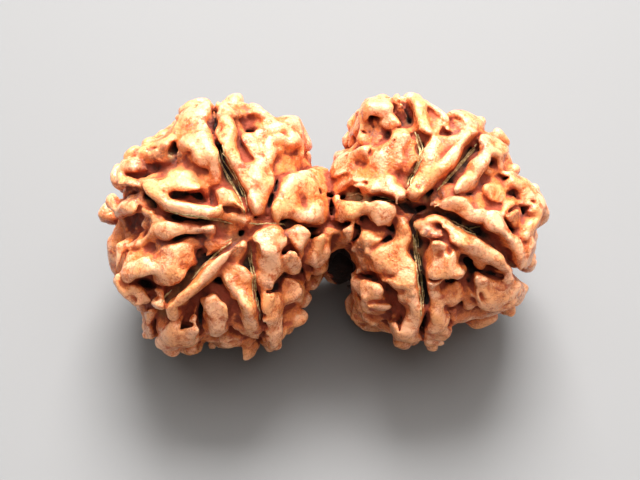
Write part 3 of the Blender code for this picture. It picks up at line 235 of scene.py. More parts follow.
# Broad lobes of the left bead: depth of the top below the outer surface, outline
LEFT_LOBES = [
    (0.45, [(-14.8, -4.3), (-14.5, -5.3), (-13.4, -5.9), (-12.9, -4.8), (-13.6, -4.3)]),
    (1.3, [(-13.6, 4.4), (-12.6, 4.9), (-11.2, 5.1), (-10.0, 5.0), (-9.4, 4.8), (-9.6, 4.2),
        (-10.8, 3.9), (-12.4, 3.8), (-13.3, 3.2)]),
    (1.2, [(-14.6, 2.9), (-13.6, 3.1), (-12.9, 2.9), (-12.5, 2.2), (-13.2, 1.9), (-14.2, 2.0),
        (-14.9, 2.3)]),
    (0.0, [(-15.6, 1.5), (-15.45, 1.9), (-15.1, 2.0), (-14.8, 1.6), (-14.9, 1.2), (-15.3, 1.1)]),
    (0.2, [(-14.8, 1.2), (-14.5, 1.5), (-13.9, 1.55), (-13.4, 1.3), (-13.5, 1.0), (-14.2, 0.85),
        (-14.7, 0.9)]),
    (0.8, [(-13.2, 1.4), (-12.6, 1.25), (-12.0, 0.95), (-12.1, 0.7), (-12.8, 0.8), (-13.2, 1.0)]),
    (0.0, [(-15.4, 0.0), (-15.2, 0.2), (-14.9, 0.0), (-14.8, -0.3), (-15.1, -0.5), (-15.4, -0.3)]),
    (0.7, [(-6.9, 7.25), (-6.4, 8.3), (-5.6, 8.3), (-4.8, 7.9), (-4.5, 7.2), (-4.9, 6.7), (-5.6, 6.3),
        (-6.3, 6.2), (-6.7, 6.8)]),
    (0.6, [(-3.7, 4.4), (-3.0, 4.9), (-1.6, 4.9), (-1.3, 3.9), (-2.4, 3.4), (-3.3, 3.5)]),
    # Upper left, outside the face line that runs up
    (0.1, [(-10.1, 7.7), (-9.5, 8.5), (-8.8, 8.9), (-8.0, 8.8), (-7.55, 8.4), (-8.0, 8.1), (-8.25, 7.5),
        (-8.8, 7.0), (-8.5, 6.2), (-8.0, 5.6), (-7.65, 5.0), (-7.65, 4.4), (-8.1, 4.05), (-8.8, 4.1),
        (-9.2, 4.6), (-9.25, 5.2), (-9.7, 5.3), (-10.0, 5.8), (-10.1, 6.6), (-10.3, 7.2)]),
    (0.2, [(-13.0, 4.9), (-12.8, 5.5), (-11.9, 5.7), (-11.3, 6.3), (-10.6, 7.0), (-10.1, 7.6),
        (-10.2, 6.7), (-10.6, 6.3), (-10.9, 5.7), (-11.2, 5.2), (-11.9, 5.0), (-12.5, 4.8)]),
    (1.03, [(-10.1, 5.4), (-9.8, 5.2), (-9.8, 4.8), (-10.2, 4.3), (-10.7, 4.0), (-11.4, 4.0),
        (-11.9, 4.2), (-11.5, 4.5), (-10.9, 4.6), (-10.4, 4.9)]),
    (0.69, [(-12.9, 2.9), (-12.3, 3.5), (-11.7, 4.05), (-11.4, 4.1), (-10.6, 3.9), (-9.8, 3.9),
        (-9.3, 3.6), (-9.2, 3.1), (-10.0, 3.0), (-12.0, 2.8)]),
    (0.0, [(-12.6, 2.4), (-12.1, 2.0), (-11.3, 1.5), (-10.9, 1.2), (-10.2, 0.9), (-9.4, 0.7),
        (-9.0, 0.85), (-8.6, 0.6), (-7.8, 0.7), (-7.6, 1.0), (-7.8, 1.4), (-8.6, 1.5), (-9.4, 1.35),
        (-10.2, 1.45), (-10.9, 1.75), (-11.1, 2.2), (-10.8, 2.45), (-9.9, 2.5), (-9.3, 2.65),
        (-9.1, 2.85), (-9.4, 3.1), (-10.0, 3.1), (-11.0, 2.95), (-12.2, 2.95), (-13.0, 3.0)]),
    (1.26, [(-9.1, 4.1), (-8.2, 4.0), (-7.6, 4.1), (-7.3, 3.4), (-7.3, 2.9), (-7.8, 2.9), (-8.4, 3.0),
        (-9.0, 3.1)]),
    (0.8, [(-8.0, 3.6), (-7.5, 3.5), (-7.4, 3.0), (-7.8, 3.0)]),
    (0.25, [(-8.1, 1.9), (-8.0, 2.7), (-7.4, 2.9), (-7.05, 2.5), (-6.5, 2.1), (-6.2, 1.5), (-5.85, 1.1),
        (-6.2, 1.05), (-6.7, 1.4), (-7.5, 1.4), (-7.8, 1.6)]),
    (0.8, [(-7.6, 0.45), (-7.4, 0.65), (-6.6, 0.65), (-6.5, 0.4), (-7.1, 0.35)]),
    (0.92, [(-6.5, 0.6), (-6.0, 0.7), (-5.7, 0.35), (-6.0, 0.0), (-6.4, 0.15)]),
    (1.49, [(-7.5, 1.3), (-6.5, 1.2), (-6.3, 0.6), (-7.5, 0.6)]),
    # Left
    (0.1, [(-12.2, -0.9), (-11.8, -0.2), (-11.0, 0.2), (-10.0, 0.15), (-9.2, -0.1), (-8.3, -0.2),
        (-8.3, -0.42), (-9.3, -0.4), (-10.0, -0.4), (-10.6, -0.7), (-11.0, -1.1), (-11.6, -1.1)]),
    (0.92, [(-12.0, -0.1), (-11.9, 0.35), (-11.2, 0.45), (-10.9, 0.1)]),
    (0.1, [(-11.6, -1.8), (-11.0, -1.5), (-10.3, -1.4), (-9.9, -1.7), (-9.6, -2.3), (-9.6, -2.9),
        (-9.9, -3.5), (-10.4, -4.0), (-11.0, -4.25), (-11.5, -4.0), (-11.9, -3.4), (-12.1, -2.8),
        (-11.9, -2.3)]),
    (0.2, [(-13.9, -2.6), (-13.6, -2.0), (-12.8, -1.9), (-12.5, -2.4), (-12.0, -2.6), (-12.1, -3.2),
        (-12.6, -3.5), (-13.1, -3.8), (-13.5, -4.15), (-14.2, -4.2), (-14.25, -3.6), (-14.1, -3.0)]),
    (0.92, [(-10.3, -1.2), (-9.8, -1.1), (-9.3, -1.9), (-9.4, -2.5), (-9.9, -2.6)]),
    (0.2, [(-12.8, -2.3), (-11.7, -2.1), (-11.6, -3.4), (-12.5, -3.4)]),
    (0.92, [(-12.9, -1.3), (-12.0, -0.95), (-11.0, -1.1), (-10.8, -1.5), (-11.6, -1.9), (-12.6, -2.2)]),
    (0.8, [(-13.4, -4.6), (-12.9, -4.7), (-12.5, -5.2), (-12.4, -5.6), (-12.9, -5.75), (-13.1, -5.3)]),
    # Lower left
    (0.69, [(-12.6, -6.5), (-12.0, -6.5), (-11.8, -6.9), (-11.85, -7.6), (-11.9, -8.3), (-12.2, -8.4),
        (-12.4, -8.0), (-12.55, -7.3)]),
    (0.8, [(-13.9, -6.3), (-13.6, -5.95), (-13.0, -6.0), (-12.8, -6.5), (-12.9, -7.0), (-13.4, -6.8)]),
    (1.03, [(-10.1, -6.6), (-9.7, -6.4), (-9.45, -6.2), (-9.35, -6.6), (-9.5, -6.9), (-9.9, -6.85)]),
    (0.92, [(-11.2, -6.3), (-10.6, -6.3), (-10.2, -6.6), (-10.4, -6.9), (-11.2, -7.1)]),
    (0.1, [(-11.1, -7.4), (-11.0, -7.8), (-11.5, -8.1), (-11.5, -8.5), (-11.1, -8.8), (-10.4, -8.85),
        (-9.7, -8.75), (-9.3, -8.4), (-9.1, -7.9), (-9.3, -7.5), (-9.6, -7.5), (-9.8, -7.8),
        (-10.5, -7.8), (-10.8, -7.5)]),
    (0.92, [(-11.2, -8.9), (-10.4, -8.9), (-9.6, -8.85), (-9.3, -9.1), (-9.5, -9.5), (-10.2, -9.5),
        (-10.9, -9.2)]),
    (0.15, [(-7.2, -3.2), (-6.9, -2.7), (-6.3, -2.8), (-5.9, -3.2), (-5.6, -3.8), (-5.4, -4.6),
        (-5.2, -5.2), (-5.1, -6.0), (-5.15, -6.5), (-5.0, -7.0), (-4.95, -7.4), (-5.4, -7.4),
        (-5.55, -6.9), (-5.8, -6.2), (-6.0, -5.6), (-6.1, -5.0), (-6.6, -4.9), (-7.0, -4.5),
        (-7.15, -3.9)]),
    (0.8, [(-6.9, -1.4), (-6.3, -1.0), (-5.7, -1.1), (-5.55, -1.5), (-5.8, -2.0), (-6.1, -2.6),
        (-6.0, -3.1), (-6.9, -3.0), (-7.0, -2.4)]),
    (1.03, [(-6.5, -7.2), (-6.2, -6.6), (-5.8, -6.4), (-5.5, -7.0), (-5.0, -7.5), (-4.95, -8.0),
        (-6.1, -8.0), (-6.2, -7.4)]),
    (0.2, [(-8.3, -5.6), (-7.8, -5.4), (-7.2, -5.8), (-6.95, -6.5), (-7.0, -7.3), (-7.5, -7.6),
        (-7.9, -7.6), (-8.1, -7.0), (-8.35, -6.3)]),
    (1.15, [(-7.4, -7.8), (-7.1, -7.4), (-6.75, -7.6), (-6.7, -8.1), (-7.3, -8.2)]),
    (0.8, [(-5.7, -8.9), (-5.4, -9.4), (-5.0, -9.7), (-4.7, -9.5), (-4.4, -9.2), (-4.4, -8.8),
        (-4.6, -8.5), (-4.9, -8.4), (-4.9, -9.1), (-5.3, -9.0)]),
    # Lower right
    (0.1, [(-5.3, -0.9), (-5.0, -0.5), (-4.4, -0.2), (-3.8, -0.15), (-3.3, -0.4), (-3.1, -0.9),
        (-2.9, -1.3), (-3.3, -1.5), (-3.5, -1.9), (-3.6, -2.4), (-3.3, -2.9), (-3.2, -3.3),
        (-3.5, -3.9), (-3.9, -4.4), (-4.3, -4.55), (-4.6, -4.2), (-4.75, -3.4), (-4.9, -2.4),
        (-5.0, -1.9), (-5.3, -1.5)]),
    (0.15, [(-2.5, -0.5), (-2.2, -0.15), (-1.7, -0.3), (-1.3, -0.6), (-1.35, -1.1), (-1.7, -1.6),
        (-2.1, -1.5), (-2.5, -1.0)]),
    (0.92, [(-3.2, -0.8), (-2.4, -0.8), (-2.3, -1.4), (-3.0, -1.5)]),
    (0.3, [(-3.3, -2.3), (-2.9, -2.1), (-2.4, -1.95), (-1.95, -2.0), (-1.85, -2.5), (-1.9, -3.1),
        (-2.3, -3.3), (-2.8, -3.2), (-3.2, -2.8)]),
    (1.03, [(-1.9, -1.6), (-1.5, -1.4), (-1.5, -3.0), (-1.2, -2.6), (-0.95, -3.2), (-1.0, -4.2),
        (-1.4, -3.9), (-1.8, -3.0)]),
    (0.3, [(-3.3, -4.9), (-3.2, -4.2), (-2.9, -3.8), (-2.3, -3.9), (-1.8, -4.3), (-1.6, -4.8),
        (-1.9, -5.3), (-2.6, -5.3), (-3.4, -5.4)]),
    (0.1, [(-4.3, -5.6), (-4.1, -5.2), (-3.7, -5.0), (-3.4, -5.1), (-3.5, -5.5), (-3.6, -6.2),
        (-3.6, -6.9), (-3.5, -7.4), (-3.3, -7.8), (-3.3, -8.3), (-3.6, -8.8), (-3.9, -8.7),
        (-4.2, -8.0), (-4.3, -7.2), (-4.4, -6.4)]),
    (0.92, [(-3.3, -8.7), (-3.1, -8.2), (-3.0, -7.8), (-2.8, -7.5), (-2.5, -7.7), (-2.35, -8.2),
        (-2.6, -8.6), (-3.0, -8.85)]),
    (1.15, [(-3.2, -6.4), (-2.6, -6.2), (-2.2, -6.2), (-2.25, -6.6), (-3.0, -6.65)]),
    # Upper right
    (0.05, [(-7.5, 7.9), (-7.2, 8.6), (-6.8, 8.95), (-6.0, 9.0), (-5.2, 8.6), (-4.8, 8.1), (-4.1, 7.6),
        (-3.4, 7.2), (-4.2, 7.1), (-4.6, 7.4), (-5.0, 7.6), (-5.6, 7.7), (-5.9, 7.4), (-6.4, 7.3),
        (-6.9, 7.2), (-7.3, 7.3), (-7.45, 7.6)]),
    (0.0, [(-7.55, 6.3), (-7.4, 6.95), (-7.1, 7.1), (-6.7, 6.9), (-6.55, 6.4), (-6.55, 5.8),
        (-6.35, 5.2), (-6.1, 4.9), (-5.95, 4.3), (-5.5, 3.9), (-4.8, 4.0), (-4.4, 3.4), (-5.0, 2.9),
        (-5.9, 3.0), (-6.3, 3.6), (-6.6, 4.3), (-6.9, 5.0), (-7.2, 5.5), (-7.5, 5.8)]),
    (0.1, [(-5.75, 6.1), (-5.4, 6.4), (-4.8, 6.5), (-4.2, 6.4), (-3.6, 6.3), (-3.1, 6.0), (-3.0, 5.4),
        (-3.3, 4.8), (-3.7, 4.3), (-3.9, 3.9), (-3.8, 3.3), (-4.0, 2.6), (-4.3, 1.8), (-4.5, 1.1),
        (-5.0, 0.95), (-5.4, 1.3), (-5.7, 2.2), (-5.9, 3.0), (-5.5, 3.95), (-4.9, 4.1), (-4.7, 4.5),
        (-5.0, 4.9), (-5.3, 5.4), (-5.6, 5.8)]),
    (0.05, [(-4.9, 6.6), (-4.4, 7.1), (-3.8, 7.3), (-3.2, 7.2), (-2.0, 7.4), (-1.6, 7.0), (-1.4, 6.3),
        (-1.2, 5.6), (-1.5, 5.4), (-2.0, 5.6), (-2.7, 5.6), (-3.1, 5.9), (-3.6, 6.3), (-4.3, 6.5)]),
    (0.92, [(-2.6, 4.6), (-2.0, 4.95), (-1.55, 4.7), (-1.5, 4.1), (-2.1, 4.0), (-2.6, 4.1)]),
    (0.8, [(-3.4, 4.1), (-2.6, 4.2), (-1.8, 4.1), (-1.4, 3.9), (-0.8, 3.6), (-0.9, 3.2), (-2.0, 3.0),
        (-3.0, 2.8), (-3.3, 3.4)]),
    (0.92, [(-4.0, 3.7), (-3.6, 3.6), (-3.4, 2.9), (-3.5, 2.4), (-3.9, 2.1), (-4.1, 2.6)]),
    (0.0, [(-3.85, 1.2), (-3.7, 1.9), (-3.2, 2.5), (-2.5, 3.0), (-1.9, 3.1), (-1.4, 3.4), (-0.9, 3.75),
        (0.0, 3.7), (0.3, 3.2), (0.35, 2.3), (0.3, 1.6), (0.0, 1.0), (-0.6, 0.6), (-1.2, 0.5),
        (-2.3, 0.5), (-2.8, 0.45), (-3.4, 0.4), (-3.7, 0.7)]),
    # Towards the join
    (0.2, [(-0.1, -0.6), (0.0, -0.1), (0.5, -0.1), (1.1, -0.2), (1.2, -1.1), (0.7, -1.5), (0.35, -2.0),
        (0.2, -2.6), (0.2, -3.2), (-0.2, -3.35), (-0.7, -3.2), (-0.9, -2.6), (-0.7, -1.8), (-0.5, -1.0)]),
]

# Hollows that the lobes of the left bead stand round: depth of the floor, outline
LEFT_HOLLOWS = [
    (1.9, [(-15.4, 2.5), (-14.2, 2.7), (-13.4, 2.6), (-12.6, 2.1), (-12.3, 1.2), (-12.2, 0.5),
        (-12.5, -0.7), (-13.4, -1.0), (-15.2, -0.9), (-15.7, 0.5)]),
    (1.3, [(-10.95, 5.5), (-10.6, 6.2), (-10.3, 6.4), (-10.15, 6.0), (-10.1, 5.3), (-10.4, 4.95),
        (-10.9, 5.1)]),
    (1.59, [(-9.8, 4.9), (-9.3, 4.95), (-9.25, 4.2), (-9.6, 4.0), (-10.1, 4.2)]),
    (2.5, [(-9.5, 2.6), (-9.1, 2.8), (-8.7, 2.8), (-8.5, 2.3), (-8.5, 1.8), (-8.9, 1.6), (-9.4, 1.5),
        (-10.0, 1.6), (-10.5, 1.8), (-10.6, 2.1), (-10.2, 2.4)]),
    (0.9, [(-8.75, 7.1), (-8.2, 7.4), (-7.9, 7.5), (-7.5, 7.3), (-7.55, 6.6), (-7.6, 6.1), (-8.1, 6.0),
        (-8.5, 6.3), (-8.7, 6.7)]),
    (1.44, [(-8.2, 7.4), (-8.05, 8.1), (-7.85, 8.6), (-7.55, 8.7), (-7.5, 8.1), (-7.5, 7.2)]),
    (1.59, [(-7.6, 6.1), (-7.25, 5.6), (-6.95, 5.0), (-6.7, 4.3), (-6.4, 3.8), (-6.1, 3.2),
        (-5.85, 2.4), (-5.7, 1.6), (-5.5, 0.9), (-5.75, 0.9), (-6.0, 1.5), (-6.4, 2.2), (-7.0, 2.7),
        (-7.2, 3.1), (-7.35, 3.7), (-7.5, 4.4), (-7.55, 5.2)]),
    (2.04, [(-6.4, -0.1), (-7.4, 0.3), (-8.5, 0.5), (-9.3, 0.6), (-10.2, 0.8), (-11.0, 1.05),
        (-11.6, 1.4), (-12.1, 1.8), (-12.7, 2.3), (-13.4, 2.6), (-13.9, 2.5), (-13.5, 1.9),
        (-12.8, 1.6), (-12.2, 1.2), (-11.9, 0.8), (-11.3, 0.55), (-10.6, 0.4), (-10.0, 0.22),
        (-9.3, 0.0), (-8.5, -0.1), (-7.5, -0.15), (-6.5, -0.25)]),
    (1.86, [(-10.8, -0.95), (-10.4, -0.6), (-9.5, -0.5), (-8.4, -0.5), (-8.2, -1.2), (-8.9, -1.5),
        (-9.2, -2.2), (-9.5, -1.5), (-10.2, -1.1)]),
    (1.36, [(-8.4, -0.4), (-7.0, -0.35), (-6.9, -0.9), (-7.6, -1.2), (-8.4, -1.4)]),
    (2.9, [(-14.0, -4.25), (-13.1, -4.0), (-12.8, -3.7), (-12.0, -3.65), (-11.5, -4.2), (-11.2, -4.4),
        (-12.0, -4.6), (-13.5, -4.5)]),
    (1.6, [(-13.9, -5.0), (-13.4, -5.0), (-13.2, -5.4), (-13.2, -5.65), (-13.7, -5.5)]),
    (1.5, [(-12.6, -4.7), (-11.4, -4.7), (-11.4, -5.5), (-12.2, -5.6)]),
    (1.86, [(-6.6, -0.95), (-7.4, -1.35), (-8.3, -1.75), (-8.9, -2.2), (-9.3, -2.6), (-9.55, -3.0),
        (-9.9, -3.5), (-10.3, -4.0), (-10.9, -4.4), (-11.1, -4.9), (-11.35, -5.5), (-11.5, -6.2),
        (-11.7, -6.8), (-11.8, -7.6), (-11.8, -8.3), (-11.5, -8.0), (-11.2, -7.3), (-11.35, -6.8),
        (-11.2, -6.2), (-10.8, -5.6), (-10.3, -5.0), (-9.7, -4.6), (-9.1, -4.05), (-8.6, -3.5),
        (-8.1, -2.8), (-7.5, -2.2), (-7.0, -1.5)]),
    (2.9, [(-8.0, -3.5), (-7.3, -3.4), (-7.15, -4.1), (-6.95, -4.6), (-8.4, -4.7), (-8.9, -4.5)]),
    (2.7, [(-9.0, -5.3), (-8.5, -4.7), (-8.35, -5.5), (-8.45, -6.3), (-8.2, -7.2), (-8.0, -7.8),
        (-7.5, -8.2), (-8.3, -9.0), (-9.0, -9.0), (-8.95, -8.3), (-9.0, -7.5), (-9.3, -7.0),
        (-9.2, -6.1)]),
    (2.4, [(-10.4, -5.9), (-9.6, -5.7), (-9.3, -6.1), (-9.7, -6.4), (-10.2, -6.5)]),
    (2.4, [(-10.3, -7.0), (-9.7, -7.0), (-9.2, -6.9), (-9.2, -7.4), (-9.7, -7.5), (-10.4, -7.4)]),
    (1.68, [(-7.1, -4.9), (-6.2, -5.0), (-6.1, -5.8), (-6.4, -6.6), (-6.8, -7.3), (-6.9, -6.3)]),
    (3.8, [(-6.5, -0.1), (-5.9, 0.0), (-5.6, 0.3), (-5.45, 0.1), (-5.5, -0.5), (-5.6, -0.9),
        (-6.1, -0.9), (-6.5, -0.6)]),
    (3.1, [(-5.45, 1.0), (-5.2, 0.9), (-4.6, 0.9), (-4.2, 1.1), (-3.85, 1.3), (-3.8, 0.8), (-3.5, 0.35),
        (-4.0, 0.15), (-5.0, 0.2), (-5.4, 0.3)]),
    (2.13, [(-3.5, 0.4), (-2.8, 0.42), (-2.2, 0.45), (-1.5, 0.5), (-0.5, 0.6), (0.0, 0.7), (0.2, 0.4),
        (0.0, 0.0), (-0.4, -0.2), (-0.6, -0.6), (-1.0, -0.7), (-1.3, -0.4), (-1.6, -0.1), (-2.6, 0.0),
        (-3.4, 0.0)]),
    (1.86, [(-5.5, -1.5), (-5.2, -1.9), (-5.0, -2.5), (-4.9, -3.3), (-4.75, -4.0), (-4.6, -4.8),
        (-4.6, -5.6), (-4.4, -6.4), (-4.35, -7.2), (-4.25, -8.0), (-4.0, -8.7), (-4.6, -8.4),
        (-4.9, -7.8), (-5.0, -6.8), (-5.1, -5.8), (-5.25, -5.0), (-5.4, -4.3), (-5.6, -3.5),
        (-5.9, -2.9), (-5.95, -2.4), (-5.75, -1.9)]),
    (2.7, [(-4.4, -4.65), (-3.9, -4.5), (-3.5, -4.0), (-3.3, -4.3), (-3.5, -4.8), (-3.9, -5.1),
        (-4.5, -4.9)]),
    (2.9, [(-3.3, -1.9), (-2.9, -1.6), (-2.4, -1.5), (-2.4, -1.8), (-3.0, -2.05)]),
    (2.7, [(-3.5, -5.6), (-3.0, -5.5), (-2.8, -5.9), (-3.0, -6.3), (-3.5, -6.2)]),
    (2.31, [(-2.0, -5.3), (-1.5, -5.2), (-1.3, -5.7), (-1.6, -6.0), (-2.1, -5.9)]),
    (1.1, [(-6.6, 6.4), (-6.0, 6.1), (-5.7, 5.6), (-5.2, 5.0), (-5.0, 4.5), (-4.75, 4.4), (-5.0, 4.15),
        (-5.5, 4.05), (-5.9, 4.35), (-6.05, 5.0), (-6.3, 5.3), (-6.55, 5.8)]),
    (1.59, [(-5.9, 5.3), (-5.5, 5.2), (-5.1, 4.6), (-5.2, 4.2), (-5.6, 4.2), (-5.8, 4.7)]),
    (0.68, [(-6.75, 8.2), (-6.3, 8.1), (-6.0, 7.8), (-6.1, 7.6), (-6.5, 7.6)]),
    (0.5, [(-5.65, 6.4), (-5.5, 7.05), (-5.0, 7.1), (-4.9, 7.4), (-4.5, 7.2), (-4.6, 6.95),
        (-5.0, 6.85), (-5.2, 6.4)]),
    (0.8, [(-2.75, 5.3), (-2.4, 5.5), (-1.9, 5.5), (-1.3, 5.2), (-1.4, 4.9), (-2.0, 5.0), (-2.7, 4.8)]),
    (1.0, [(-3.2, 4.5), (-2.7, 4.7), (-2.5, 4.3), (-2.9, 4.1)]),
    (0.52, [(-2.7, 1.2), (-2.5, 2.0), (-2.0, 2.35), (-1.4, 2.2), (-1.15, 1.6), (-1.4, 1.0), (-2.0, 0.7)]),
    (5.2, [(-9.0, -8.3), (-8.6, -7.9), (-8.1, -8.1), (-7.6, -8.5), (-6.9, -8.5), (-6.3, -8.3),
        (-5.8, -8.5), (-5.8, -9.2), (-6.4, -9.9), (-8.8, -9.9), (-9.1, -9.0)]),
]

# Fine furrows of the left bead: half width, depth, path
LEFT_FURROWS = [
    (0.12, 0.42, [(-4.3, 5.8), (-4.15, 5.1), (-4.4, 4.85)]),
    (0.14, 1.5, [(-3.35, 3.0), (-3.55, 2.4), (-3.9, 1.9), (-4.15, 1.2)]),
    (0.12, 0.36, [(-11.7, 5.55), (-12.2, 5.4)]),
    (0.1, 0.6, [(-7.5, 1.32), (-6.8, 1.25)]),
    (0.1, 0.48, [(-2.4, -4.0), (-1.9, -4.6)]),
    (0.12, 0.72, [(-14.1, -1.9), (-14.2, -2.6), (-14.45, -3.4)]),
    (0.13, 1.4, [(-8.2, 2.9), (-8.15, 2.2), (-8.2, 1.6)]),
    (0.1, 0.6, [(-3.8, -7.9), (-3.6, -7.4)]),
    (0.08, 0.3, [(-6.9, -2.2), (-6.6, -2.8)]),
]

